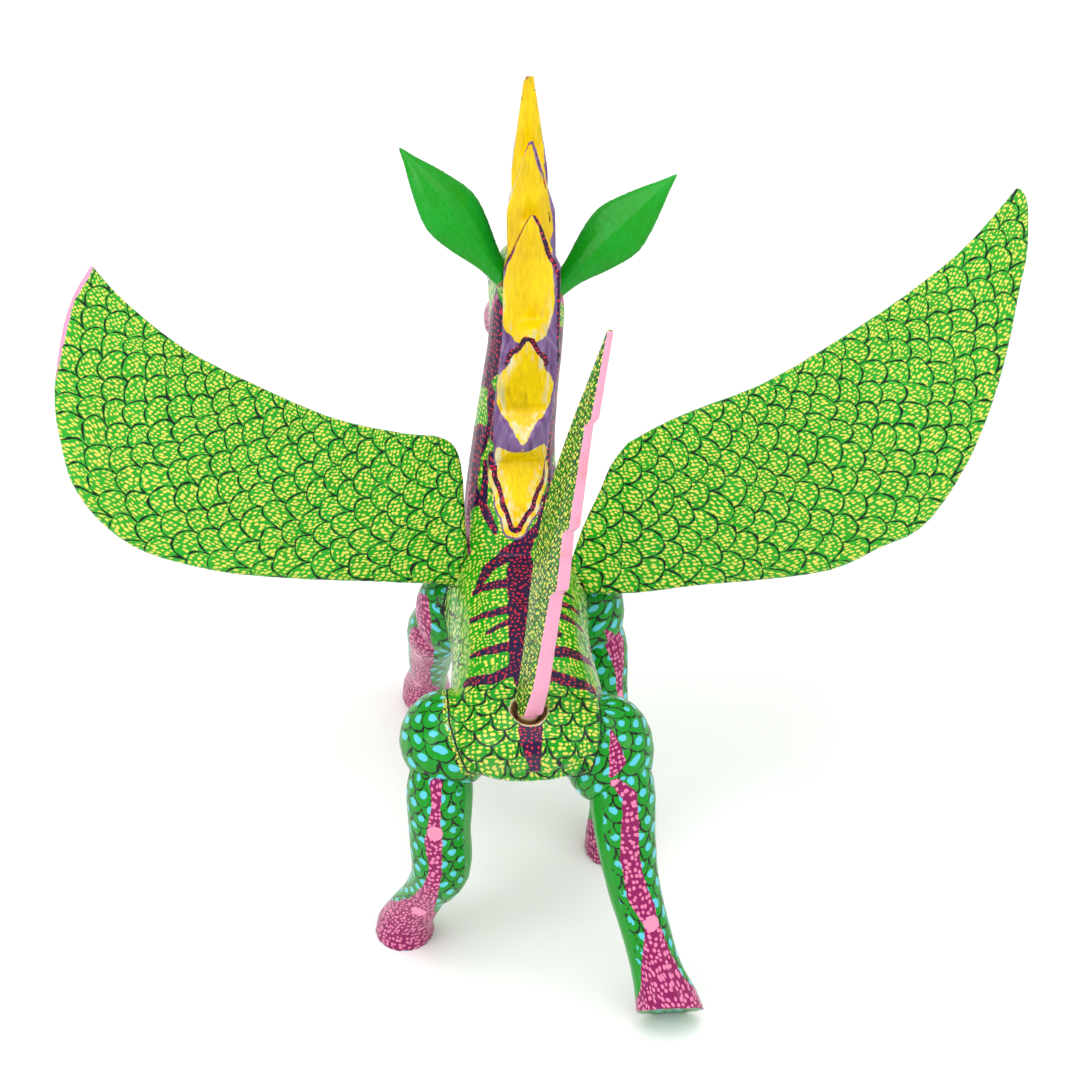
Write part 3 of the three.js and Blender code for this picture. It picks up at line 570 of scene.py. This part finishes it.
# Bare copal wood: pale, with fine darker grain running up the block.
copal_wood, g, out = new_group("copal_wood", {"Dirt": ("number", 0.3)}, {"Colour": "colour"})
t = copal_wood
spots = place(t, "ShaderNodeTexCoord").outputs["Object"]
drawn = place(t, "ShaderNodeMapping", {"Vector": spots})
drawn.inputs["Scale"].default_value = (1, 1, 0.12)
fibres = place(t, "ShaderNodeTexNoise", {"Vector": drawn.outputs[0], "Scale": 1400.0, "Detail": 4.0})
stain = place(t, "ShaderNodeTexNoise", {"Vector": spots, "Scale": 150.0})
wood = mixed(t, fibres.outputs["Fac"], colour(196, 152, 104), colour(140, 92, 56))
dirty = number(t, "MULTIPLY", stain.outputs["Fac"], g["Dirt"])
t.links.new(mixed(t, dirty, wood, colour(70, 40, 26)), out["Colour"])

# Brushed varnish over everything: gloss with dull patches, a few pits and soft ripples.
varnish, g, out = new_group(
    "varnish", {"Dull": ("number", 0.2)}, {"Roughness": "number", "Ripple": "number"})
t = varnish
spots = place(t, "ShaderNodeTexCoord").outputs["Object"]
pools = place(t, "ShaderNodeTexNoise", {"Vector": spots, "Scale": 110.0, "Detail": 3.0})
fine = place(t, "ShaderNodeTexNoise", {"Vector": spots, "Scale": 1500.0, "Detail": 2.0})
t.links.new(number(t, "ADD", number(t, "MULTIPLY_ADD", pools.outputs["Fac"], 0.25, g["Dull"]),
                   number(t, "MULTIPLY", fine.outputs["Fac"], 0.08)), out["Roughness"])
t.links.new(number(t, "ADD", number(t, "MULTIPLY", pools.outputs["Fac"], 0.16),
                   number(t, "MULTIPLY", fine.outputs["Fac"], 0.025)), out["Ripple"])

# Where handling has rubbed or chipped the paint off sharp edges.
edge_chips, g, out = new_group(
    "edge_chips", {"Worn": ("number", 0), "Amount": ("number", 0.5)}, {"Mask": "number"})
t = edge_chips
spots = place(t, "ShaderNodeTexCoord").outputs["Object"]
flakes = place(t, "ShaderNodeTexNoise", {"Vector": spots, "Scale": 420.0, "Detail": 3.0})
rarely = place(t, "ShaderNodeTexNoise", {"Vector": spots, "Scale": 60.0, "Detail": 1.0})
chance = number(t, "MULTIPLY", number(t, "MULTIPLY", flakes.outputs["Fac"], rarely.outputs["Fac"]), g["Worn"])
over_limit = number(t, "SUBTRACT", chance, number(t, "SUBTRACT", 0.62, g["Amount"]))
t.links.new(number(t, "MULTIPLY_ADD", over_limit, 30.0, 0.0, clamp=True), out["Mask"])

# the pots of paint
GREEN = colour(14, 160, 18)
YELLOW_GREEN = colour(60, 176, 30)
DEEP_GREEN = colour(8, 156, 30)
YELLOW_DOT = colour(238, 232, 96)
OUTLINE = colour(16, 26, 14)
BLUE_DOT = colour(96, 214, 232)
PLUM = colour(44, 6, 48)
INDIGO = colour(28, 8, 68)
RED_DOT = colour(214, 36, 66)
MAGENTA = colour(148, 22, 94)
PINK_DOT = colour(248, 134, 178)
PINK = colour(252, 152, 188)
# the mane's purple with a painted sheen on it
LILAC_SHEEN = colour(146, 118, 168)
YELLOW = colour(246, 208, 2)
# pale bare wood and worn rims, and also the mane's painted sheen
CREAM = colour(240, 232, 190)
FLANK_DOT = colour(226, 238, 140)
# the same purple in painted shade
SHADED_LILAC = colour(104, 62, 122)
OLIVE = colour(150, 150, 20)
WHITE = colour(246, 244, 232)
BLACK = colour(24, 18, 20)
DARK_NOSTRIL = colour(40, 8, 30)


MILLIMETRE = 0.001


class Painted:
    """One painted wooden surface, built up coat by coat and closed with varnish."""

    def __init__(self, name, ground):
        self.material = bpy.data.materials.new(name)
        self.material.use_nodes = True
        self.tree = self.material.node_tree
        self.shader = self.tree.nodes["Principled BSDF"]
        self.paint = fill(self.tree, brushed_coat, {"Paint": ground})["Colour"]
        self.relief = 0.0

    def coat(self, mask, paint, thick=0.03):
        """Lays one colour over what is there, and raises it by its thickness in mm."""
        self.paint = mixed(self.tree, mask, self.paint, paint)
        levelled = number(self.tree, "MULTIPLY_ADD", mask, -0.9, 1.0)
        buried = number(self.tree, "MULTIPLY", self.relief, levelled)
        self.relief = number(self.tree, "MULTIPLY_ADD", mask, thick, buried)

    def dots(self, mask, along, across, paint, spacing, radius, dash=1.0, order=0.3):
        """Touches on rows of dots, `dash` times as long as wide, `order` from 0 for strewn to 1 for even."""
        dots = fill(self.tree, brush_dots, {
            "Along": along, "Across": across, "Spacing": spacing,
            "Dash": dash, "Radius": radius, "Order": order})
        self.coat(cover(self.tree, mask, dots["Mask"]), paint, 0.08)

    def finish(self, worn, chips, dull, gloss=0.22):
        """Chips, bare wood beneath them, varnish and the relief of all the coats."""
        tree = self.tree
        chipped = fill(tree, edge_chips, {"Worn": worn, "Amount": chips})["Mask"]
        self.coat(chipped, fill(tree, copal_wood, {})["Colour"], -0.12)
        clear = fill(tree, varnish, {"Dull": dull})
        tree.links.new(self.paint, self.shader.inputs["Base Color"])
        tree.links.new(clear["Roughness"], self.shader.inputs["Roughness"])
        height = number(tree, "ADD", self.relief, clear["Ripple"])
        bump = place(tree, "ShaderNodeBump", {"Height": height, "Distance": MILLIMETRE, "Strength": 1.0})
        tree.links.new(bump.outputs[0], self.shader.inputs["Normal"])
        self.shader.inputs["Coat Weight"].default_value = gloss
        self.shader.inputs["Coat Roughness"].default_value = 0.12
        self.shader.inputs["Specular IOR Level"].default_value = 0.16
        return self.material


body_paint = Painted("painted_body", GREEN)
tree = body_paint.tree
wobble = fill(tree, hand_wobble, {"Size": 9.0, "Amount": 2.6})
fine_wobble = fill(tree, hand_wobble, {"Size": 2.2, "Amount": 0.5})
along = number(tree, "ADD", stored(tree, "along"), wobble["First"])
across = number(tree, "ADD", stored(tree, "across"), wobble["Second"])


def wandering(name):
    return number(tree, "ADD", stored(tree, name), fine_wobble["First"])


in_bulge = number(tree, "MAXIMUM", wandering("haunch"), wandering("shoulder"))
on_back = below(tree, in_bulge, 0)
in_haunch = uncovered(tree, on_back)
in_flank = cover(tree, stored(tree, "flank"), on_back)
# yellow-dotted scales on the back and rump
big = fill(tree, fish_scales, {"Along": along, "Across": across, "Length": 7.0, "Width": 9.2})
broad = fill(tree, fish_scales, {"Along": along, "Across": across, "Length": 6.0, "Width": 8.4})
small = fill(tree, fish_scales, {"Along": along, "Across": across, "Length": 4.8, "Width": 7.2})
body_paint.coat(number(tree, "MULTIPLY", big["Shade"], 0.25), YELLOW_GREEN, 0)
scaled = stored(tree, "scaled")
off_outline = uncovered(tree, cover(tree, scaled, below(tree, big["Outline"], 0.55)))
dotted = cover(tree, on_back, uncovered(tree, in_flank), off_outline)
body_paint.dots(cover(tree, dotted, scaled), along, across, YELLOW_DOT, 2.05, 0.66, order=0.55)
body_paint.dots(cover(tree, dotted, uncovered(tree, scaled)),
                along, across, YELLOW_DOT, 1.75, 0.5, dash=1.15, order=0.5)
body_paint.dots(in_flank, along, across, FLANK_DOT, 1.25, 0.42, dash=2.2)
line = below(tree, number(tree, "ADD", big["Outline"], fine_wobble["First"]), 0.32)
body_paint.coat(cover(tree, on_back, scaled, line), OUTLINE, 0.05)
# deep green scales with one blue dot each on the haunches and shoulders
body_paint.coat(in_haunch, fill(tree, brushed_coat, {"Paint": DEEP_GREEN})["Colour"], 0)
for bulge, scales, dot in (("haunch", broad, 1.6), ("shoulder", small, 1.4)):
    here = uncovered(tree, below(tree, wandering(bulge), 0))
    line = below(tree, number(tree, "ADD", scales["Outline"], fine_wobble["First"]), 0.28)
    body_paint.coat(cover(tree, here, line), OUTLINE, 0.05)
    spot = below(tree, number(tree, "ADD", scales["Spot"], fine_wobble["Second"]), dot)
    body_paint.coat(cover(tree, here, spot), BLUE_DOT, 0.09)
body_paint.coat(below(tree, number(tree, "ABSOLUTE", in_bulge), 0.32), OUTLINE, 0.05)
body_paint.dots(below(tree, wandering("rump_trim"), 0), along, across, YELLOW_DOT, 1.6, 0.6, order=0.5)
# the neck is plum with red dots, broken by green patches
in_neck = uncovered(tree, below(tree, wandering("neck"), 0))
own_place = place(tree, "ShaderNodeTexCoord").outputs["Object"]
patch_noise = place(tree, "ShaderNodeTexNoise", {
    "Vector": own_place, "Scale": 55.0, "Detail": 1.0}).outputs["Fac"]
green_patch = uncovered(tree, below(tree, patch_noise, 0.55, 0.02))
on_face = uncovered(tree, below(tree, wandering("head"), 0))
plum_neck = cover(tree, in_neck, uncovered(tree, green_patch), uncovered(tree, on_face))
in_plum = number(tree, "MAXIMUM", plum_neck, below(tree, wandering("plum"), 0))
body_paint.coat(in_plum, mixed(tree, patch_noise, PLUM, INDIGO), 0.02)
body_paint.dots(in_plum, along, across, RED_DOT, 1.7, 0.4, dash=1.15)
# magenta flames with pink dots, and the big pink spots
in_magenta = below(tree, wandering("magenta"), 0)
body_paint.coat(in_magenta, fill(tree, brushed_coat, {"Paint": MAGENTA})["Colour"], 0.02)
body_paint.dots(in_magenta, along, across, PINK_DOT, 1.6, 0.5, dash=1.2)
body_paint.coat(below(tree, wandering("pink_spot"), 0), PINK, 0.1)
# the mane: purple flanks painted as a lilac sheen with streaks of painted shade, yellow faces and a plum line
# round each lock
in_crest = below(tree, wandering("crest"), 0)
drawn_up = place(tree, "ShaderNodeMapping", {"Vector": own_place, "Scale": (1, 1, 0.16)}).outputs[0]
streak = place(tree, "ShaderNodeTexNoise", {
    "Vector": drawn_up, "Scale": 520.0, "Detail": 4.0}).outputs["Fac"]
# the flanks' purple is painted lighter as a sheen, and darker in streaks as painted shade
lilac = mixed(tree, number(tree, "MULTIPLY_ADD", streak, 3.0, -1.0, clamp=True), SHADED_LILAC, LILAC_SHEEN)
body_paint.coat(in_crest, lilac, 0.02)
in_yellow = below(tree, wandering("yellow"), 0, 0.3)
scuffed = number(tree, "MULTIPLY_ADD", number(tree, "ADD", streak, patch_noise), 6.0, -6.9, clamp=True)
# near their edges the lower locks' yellow turns cream in streaks: a painted sheen on the rounded sides
yellow_edge = uncovered(tree, below(tree, wandering("yellow"), -2.6, 2.4))
sheen_streaks = number(tree, "MULTIPLY_ADD", streak, 5.0, -2.3, clamp=True)
cream_sheen_share = cover(tree, yellow_edge, stored(tree, "low_locks_sheen"), sheen_streaks)
brushed_yellow = fill(tree, brushed_coat, {"Paint": YELLOW, "Thin": 0.2})["Colour"]
yellow_paint = mixed(tree, cream_sheen_share, brushed_yellow, CREAM)
yellow_paint = mixed(tree, number(tree, "MULTIPLY", scuffed, 0.45), yellow_paint, OLIVE)
body_paint.coat(in_yellow, yellow_paint, 0.04)
in_line = below(tree, wandering("mane_line"), 0)
body_paint.coat(in_line, PLUM, 0.03)
body_paint.dots(in_line, along, across, RED_DOT, 1.5, 0.4)
# the face
body_paint.coat(below(tree, stored(tree, "eye"), 1.3), PLUM, 0.02)
in_eye = below(tree, stored(tree, "eye"), 0.3)
body_paint.coat(in_eye, WHITE, 0.04)
body_paint.coat(cover(tree, in_eye, below(tree, stored(tree, "pupil"), 0.3)), BLACK, 0.04)
body_paint.coat(below(tree, stored(tree, "glint"), 0), WHITE, 0.04)
body_paint.coat(below(tree, stored(tree, "nostril"), 0), DARK_NOSTRIL, 0.02)
# bare wood down the holes, and a pale worn rim round the tail's
body_paint.coat(below(tree, wandering("hole_rim"), 0, 0.3), CREAM, -0.03)
hole_wood = fill(tree, copal_wood, {"Dirt": 0.5})["Colour"]
body_paint.coat(below(tree, wandering("bare"), 0, 0.3), hole_wood, -0.05)
body.data.materials.append(body_paint.finish(stored(tree, "worn"), chips=0.22, dull=0.16))
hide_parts("carved_body")
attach(body, "body_and_legs")

# ---- Legs ----
# Each leg is whittled on its own, glued into a socket under its haunch or shoulder, and painted
# with the body: blue-dotted scales outside, a magenta flame down the back and over the hoof.
LEG_RADIUS = 11
SCALES_ROUND_LEG = 10
LEG_SCALE_WIDTH = 2 * math.pi * LEG_RADIUS / SCALES_ROUND_LEG
HOOF_HEIGHT = 14
STEEPNESS = 1.1  # length along a leaning leg for each mm of height
FILLER = 0.36  # the leg's top is built up by this much, mm
LEGS = {
    "left_hind_leg": dict(
        outward=1,
        flame=((43.5, 69, 84, 2.2), (43.5, 71.5, 77, 1.6), (44.5, 73, 70, 2.2), (45, 73.5, 61.5, 3.2),
               (44.5, 75, 50, 2.2), (46.5, 74, 41, 3), (50, 67, 27, 5), (52, 64, 20, 8), (55, 58, 6, 16)),
        spots=((44.5, 74, 66, 3), (50.5, 66, 24, 2.9))),
    "right_hind_leg": dict(
        outward=-1,
        flame=((-18, 74, 84, 2), (-22, 74.5, 80, 2.6), (-22, 79, 71, 3), (-21.5, 83.5, 60, 3.4),
               (-23, 87, 53, 3.4), (-24, 89.5, 48.5, 4), (-26.5, 91.5, 43.5, 3.8), (-28.5, 94, 39, 2.6),
               (-29.5, 97, 34, 4), (-31, 104, 25, 7.5), (-33, 110, 16, 11), (-34, 104, 4, 13)),
        spots=((-28.5, 94, 39, 2.8),)),
    "left_foreleg": dict(
        outward=1,
        flame=((45, -26, 74, 6), (46, -34, 60, 6), (46, -50, 44, 5), (44, -64, 28, 4.5), (44, -76, 14, 8),
               (42, -86, 4, 15)),
        spots=((46.5, -34, 62, 2.6), (45, -70, 22, 2.4))),
    "right_foreleg": dict(
        outward=-1,
        flame=((-25, -14, 78, 4.5), (-27, -9, 68, 2), (-28, -4, 56, 3), (-27, 2, 42, 2.6), (-26, 8, 26, 3),
               (-24, 11, 16, 6), (-22, 8, 4, 14)),
        spots=((-27.5, -6, 60, 2.4), (-25.5, 9, 24, 2.4))),
}


def painted_leg():
    paint = Painted("painted_leg", DEEP_GREEN)
    tree = paint.tree
    wobble = fill(tree, hand_wobble, {"Size": 8.0, "Amount": 1.4})
    fine_wobble = fill(tree, hand_wobble, {"Size": 2.2, "Amount": 0.5})
    along = number(tree, "ADD", stored(tree, "along"), wobble["First"])
    across = number(tree, "ADD", stored(tree, "across"), wobble["Second"])
    scales = fill(tree, fish_scales, {
        "Along": along, "Across": across, "Length": 4.9, "Width": LEG_SCALE_WIDTH})
    scaled = below(tree, number(tree, "ADD", stored(tree, "plain"), fine_wobble["First"]), 0.62, 0.04)
    line = below(tree, number(tree, "ADD", scales["Outline"], fine_wobble["First"]), 0.25)
    paint.coat(cover(tree, scaled, line), OUTLINE, 0.05)
    dot = below(tree, number(tree, "ADD", scales["Spot"], fine_wobble["Second"]), 1.4)
    paint.coat(cover(tree, scaled, dot), BLUE_DOT, 0.09)
    flame = below(tree, number(tree, "ADD", stored(tree, "blaze"), fine_wobble["First"]), 0)
    flame = cover(tree, flame, below(tree, stored(tree, "sole"), 0.5))
    paint.coat(flame, fill(tree, brushed_coat, {"Paint": MAGENTA})["Colour"], 0.02)
    paint.dots(flame, along, across, PINK_DOT, 1.65, 0.52, dash=1.25)
    paint.coat(below(tree, number(tree, "ADD", stored(tree, "spots"), fine_wobble["First"]), 0), PINK, 0.1)
    return paint.finish(stored(tree, "worn"), chips=0.24, dull=0.16)


def off_ground(points):
    """The soles stay flat, and the wood above them is sanded."""
    return smooth_step(points[:, 2], 0.5, 5)


leg_paint = painted_leg()
for node, leg in LEGS.items():
    piece, points, edges = whittled(
        node, node.replace("leg", "leg_carving"), grain=0.7, rounds=24, knife=0.14, give=off_ground)
    mesh = piece.data
    normals = point_normals(mesh)
    # the joint with the body is filled and painted over, so the leg's top fills its socket
    points += normals * (FILLER * smooth_step(points[:, 2], 60, 72))[:, None]
    mesh.vertices.foreach_set("co", (points / 1000).ravel())
    mesh.update()
    x, y, z = points.T
    levels = np.arange(-2, 100, 4)
    slices = [points[np.abs(z - level) < 3] for level in levels]
    filled = [(level, part.mean(0)) for level, part in zip(levels, slices) if len(part) > 20]
    heights = [level for level, _ in filled]
    middle_x = np.interp(z, heights, [middle[0] for _, middle in filled])
    middle_y = np.interp(z, heights, [middle[1] for _, middle in filled])
    # the pattern is wrapped round the leg's middle line, with its seam down the inner side
    angle = np.arctan2(y - middle_y, leg["outward"] * (x - middle_x))
    corners = np.empty(len(mesh.loops), dtype=np.int32)
    mesh.loops.foreach_get("vertex_index", corners)
    starts = np.empty(len(mesh.polygons), dtype=np.int32)
    mesh.polygons.foreach_get("loop_start", starts)
    totals = np.empty(len(mesh.polygons), dtype=np.int32)
    mesh.polygons.foreach_get("loop_total", totals)
    first_angle = np.repeat(angle[corners[starts]], totals)
    corner_angle = angle[corners]
    corner_angle += 2 * math.pi * np.round((first_angle - corner_angle) / (2 * math.pi))
    layer = mesh.attributes.new("across", "FLOAT", "CORNER")
    layer.data.foreach_set("value", (corner_angle * LEG_RADIUS).astype(np.float32))
    sole = np.clip(-normals[:, 2], 0, 1) * (z < HOOF_HEIGHT)
    for name, values in {
        "along": -z * STEEPNESS, "blaze": stroke(points, *leg["flame"]),
        "spots": np.minimum.reduce([stroke(points, spot) for spot in leg["spots"]]),
        "plain": -leg["outward"] * normals[:, 0], "sole": sole,
        "worn": edge_wear(points, edges, normals),
    }.items():
        keep(mesh, name, values)
    mesh.materials.append(leg_paint)
    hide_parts(node)
    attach(piece, "body_and_legs")

# ---- Wings ----
# Two sawn boards shaved thin toward their tips, each on a peg whittled from the same board and
# pushed into a hole in the back. Both faces carry the yellow-dashed scales.
WINGS = {
    "left_wing": dict(
        at=(32.3, -16.3, 109.1), out=(0.9781, 0.2079, 0), up=(0.0879, -0.4134, 0.9063), span=137),
    "right_wing": dict(
        at=(-10.7, -16.3, 109.1), out=(-0.9781, 0.2079, 0), up=(-0.0879, -0.4134, 0.9063), span=153),
}
BRIGHT_GREEN = colour(48, 176, 44)
SCALE_GREEN = colour(84, 190, 40)
RIM_GREEN = colour(34, 160, 32)
RIM_PINK = colour(236, 166, 202)


def painted_wing(pink_edge):
    paint = Painted("painted_left_wing" if pink_edge else "painted_right_wing", GREEN)
    tree = paint.tree
    wobble = fill(tree, hand_wobble, {"Size": 16.0, "Amount": 3.2})
    fine_wobble = fill(tree, hand_wobble, {"Size": 2.4, "Amount": 0.42})
    out = stored(tree, "out")
    along = number(tree, "ADD", stored(tree, "along"), wobble["First"])
    across = number(tree, "ADD", stored(tree, "across"), wobble["Second"])
    paler = number(tree, "MULTIPLY_ADD", out, 0.9, 0.0, clamp=True)
    paint.coat(paler, fill(tree, brushed_coat, {"Paint": BRIGHT_GREEN})["Colour"], 0)
    scales = fill(tree, fish_scales, {"Along": along, "Across": across, "Length": 6.1, "Width": 10.2})
    paint.coat(number(tree, "MULTIPLY", scales["Shade"], 0.22), SCALE_GREEN, 0)
    outline = number(tree, "ADD", scales["Outline"], fine_wobble["First"])
    clear = uncovered(tree, below(tree, outline, 0.5))
    # the dashes slant a little across each board
    slanted = number(tree, "MULTIPLY_ADD", across, 0.45, along)
    paint.dots(clear, slanted, across, YELLOW_DOT, 1.25, 0.4, dash=1.45, order=0.45)
    paint.coat(below(tree, outline, 0.23), OUTLINE, 0.05)
    rim = below(tree, number(tree, "ADD", stored(tree, "rim"), fine_wobble["First"]), 0.9)
    paint.coat(rim, fill(tree, brushed_coat, {"Paint": RIM_GREEN})["Colour"], 0)
    paint.dots(rim, across, along, YELLOW_DOT, 2.6, 0.45, order=0.2)
    if pink_edge:
        edge = below(tree, number(tree, "ADD", stored(tree, "pink"), fine_wobble["Second"]), 0)
        paint.coat(edge, RIM_PINK, 0.05)
    peg = below(tree, stored(tree, "peg"), 0, 0.4)
    paint.coat(peg, fill(tree, copal_wood, {"Dirt": 0.25})["Colour"], -0.03)
    return paint.finish(stored(tree, "worn"), chips=0.2, dull=0.15)


for node, wing in WINGS.items():
    piece, points, edges = whittled(
        node, node.replace("wing", "wing_board"), grain=0.75, rounds=10, knife=0.12)
    mesh = piece.data
    normals = point_normals(mesh)
    axes = np.array([wing["out"], wing["up"], np.cross(wing["out"], wing["up"])])
    u, v, w = ((points - wing["at"]) @ axes.T).T
    side_on = np.abs(normals @ axes[2])
    # the rows of scales swing upward with the wing's curve, about a point above its root
    bend = wing["span"] * 0.95
    beside, beneath = u - 10, 28 + bend - v
    swing = np.arctan2(beside, beneath)
    from_centre = np.hypot(beside, beneath)
    pink_line = stroke(np.stack([u, v, w * 0], 1), (112, 129, 0, 1.4), (121.5, 117, 0, 1.4),
                       (127.5, 101, 0, 0.9), (130, 91, 0, 0.1))
    for name, values in {
        "along": swing * bend, "across": bend - from_centre, "out": np.clip(u / wing["span"], 0, 1),
        "rim": side_on * 3, "pink": pink_line,
        "peg": stroke(np.stack([u, v, w], 1), (-12, -14, 0, 5.2), (-3.4, -4.1, 0, 4.4)),
        "worn": edge_wear(points, edges, normals),
    }.items():
        keep(mesh, name, values)
    mesh.materials.append(painted_wing(node == "left_wing"))
    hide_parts(node)
    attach(piece, node)

# ---- Ears ----
# Leaf-shaped ears, four flat facets meeting in a ridge, plain glossy green over the wood's grain,
# each pushed into the head on a thin peg.
EARS = {"left_ear": ((12.3, -48.3, 212.0), (0.5970, -0.3980, 0.6965)),
        "right_ear": ((-5.7, -48.3, 207.5), (-0.7522, -0.3563, 0.5543))}
EAR_GREEN = colour(8, 158, 20)
EAR_THIN = colour(26, 182, 44)
ear_paint = Painted("painted_ear", EAR_GREEN)
tree = ear_paint.tree
own_place = place(tree, "ShaderNodeTexCoord").outputs["Object"]
grain = place(tree, "ShaderNodeTexNoise", {"Vector": own_place, "Scale": 800.0, "Detail": 5.0}).outputs["Fac"]
ear_paint.coat(number(tree, "MULTIPLY_ADD", grain, 1.6, -0.75, clamp=True), EAR_THIN, 0.03)
peg_wood = fill(tree, copal_wood, {"Dirt": 0.25})["Colour"]
ear_paint.coat(below(tree, stored(tree, "peg"), 0, 0.4), peg_wood, -0.03)
ear_material = ear_paint.finish(stored(tree, "worn"), chips=0.24, dull=0.2)
for node, (root, along_ear) in EARS.items():
    piece, points, edges = whittled(node, node.replace("ear", "ear_leaf"), grain=0.45, rounds=5, knife=0.08)
    height = (points - root) @ np.array(along_ear)
    keep(piece.data, "peg", height - 0.2)
    keep(piece.data, "worn", edge_wear(points, edges, point_normals(piece.data)))
    piece.data.materials.append(ear_material)
    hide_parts(node)
    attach(piece, node)

# ---- Tail ----
# A thin flame-shaped blade with three notches down its rear edge, standing in a hole in the rump.
# The sides are green with fine yellow and dark strokes, and the sawn rear edge is flat pink.
TAIL_AT = np.array((11.3, 64.7, 112.4))
TAIL_AXES = np.array(((0.2924, -0.9473, 0.1308), (0.9441, 0.3078, 0.1184), (-0.1524, 0.0889, 0.9843)))
TAIL_GREEN = colour(26, 136, 20)
DARK_STROKE = colour(22, 70, 14)
SCALE_LINE = colour(40, 70, 20)
TAIL_PINK = colour(255, 176, 206)
SALMON = colour(246, 150, 158)
WORN_WOOD = colour(200, 160, 110)
PEG_RADIUS = 4.05  # what lies closer to the blade's axis than this, below it, is the peg
PARED = 0.14  # the share of the blade's width that is pared away low down
SINK = 3.4  # how far the foot stands down in the hole
piece, points, edges = whittled("tail", "tail_blade", grain=0.5, rounds=4, knife=0.06)
forward, through, up = ((points - TAIL_AT) @ TAIL_AXES.T).T
# the blade narrows toward its foot, a blunt stub that stands down in the mouth of the hole
foot = (1 - smooth_step(up, 2, 14)) * (np.hypot(forward, through) > PEG_RADIUS)
slim = 1 - PARED * (1 - smooth_step(up, 10, 90)) * (up > 0)
stub = np.stack([forward * slim, through * slim, up - SINK * foot], 1)
points = stub @ TAIL_AXES + TAIL_AT
piece.data.vertices.foreach_set("co", (points / 1000).ravel())
piece.data.update()
forward, through, up = stub.T
normals = point_normals(piece.data)
facing = normals @ TAIL_AXES.T
for name, values in {
    "along": up, "across": forward, "through": through, "rear": facing[:, 0], "height": up,
    "worn": edge_wear(points, edges, normals),
}.items():
    keep(piece.data, name, values)
tail_paint = Painted("painted_tail", TAIL_GREEN)
tree = tail_paint.tree
fine_wobble = fill(tree, hand_wobble, {"Size": 2.4, "Amount": 0.3})
wobble = fill(tree, hand_wobble, {"Size": 9.0, "Amount": 1.2})
along = number(tree, "ADD", stored(tree, "along"), wobble["First"])
across = number(tree, "ADD", stored(tree, "across"), wobble["Second"])
slanted = number(tree, "MULTIPLY_ADD", along, 0.35, across)
sides = below(tree, number(tree, "ADD", stored(tree, "rear"), fine_wobble["First"]), 0.6, 0.1)
tail_paint.dots(sides, along, slanted, DARK_STROKE, 1.4, 0.42, dash=2.4, order=0.3)
tail_paint.dots(sides, along, slanted, YELLOW_DOT, 1.2, 0.36, dash=2.0, order=0.4)
scales = fill(tree, fish_scales, {"Along": along, "Across": across, "Length": 5.0, "Width": 6.5})
tail_paint.coat(cover(tree, sides, below(tree, scales["Outline"], 0.16)), SCALE_LINE, 0.03)
tail_paint.dots(uncovered(tree, sides), along, stored(tree, "through"), YELLOW_DOT, 2.2, 0.4, order=0.3)
turned = number(tree, "ADD", stored(tree, "rear"), number(tree, "MULTIPLY", fine_wobble["First"], 0.2))
own_place = place(tree, "ShaderNodeTexCoord").outputs["Object"]
patchy = place(tree, "ShaderNodeTexNoise", {"Vector": own_place, "Scale": 90.0}).outputs["Fac"]
pink = mixed(tree, number(tree, "MULTIPLY_ADD", patchy, 4.0, -2.3, clamp=True), TAIL_PINK, SALMON)
tail_paint.coat(below(tree, turned, -0.6, 0.1), pink, 0.05)
foot = below(tree, number(tree, "ADD", stored(tree, "height"), fine_wobble["First"]), -2.3)
tail_paint.coat(foot, mixed(tree, 0.5, CREAM, WORN_WOOD), 0)
tail_paint.coat(below(tree, stored(tree, "height"), -3.1, 0.3), fill(tree, copal_wood, {})["Colour"], -0.03)
piece.data.materials.append(tail_paint.finish(stored(tree, "worn"), chips=0.22, dull=0.18))
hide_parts("tail")
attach(piece, "tail")
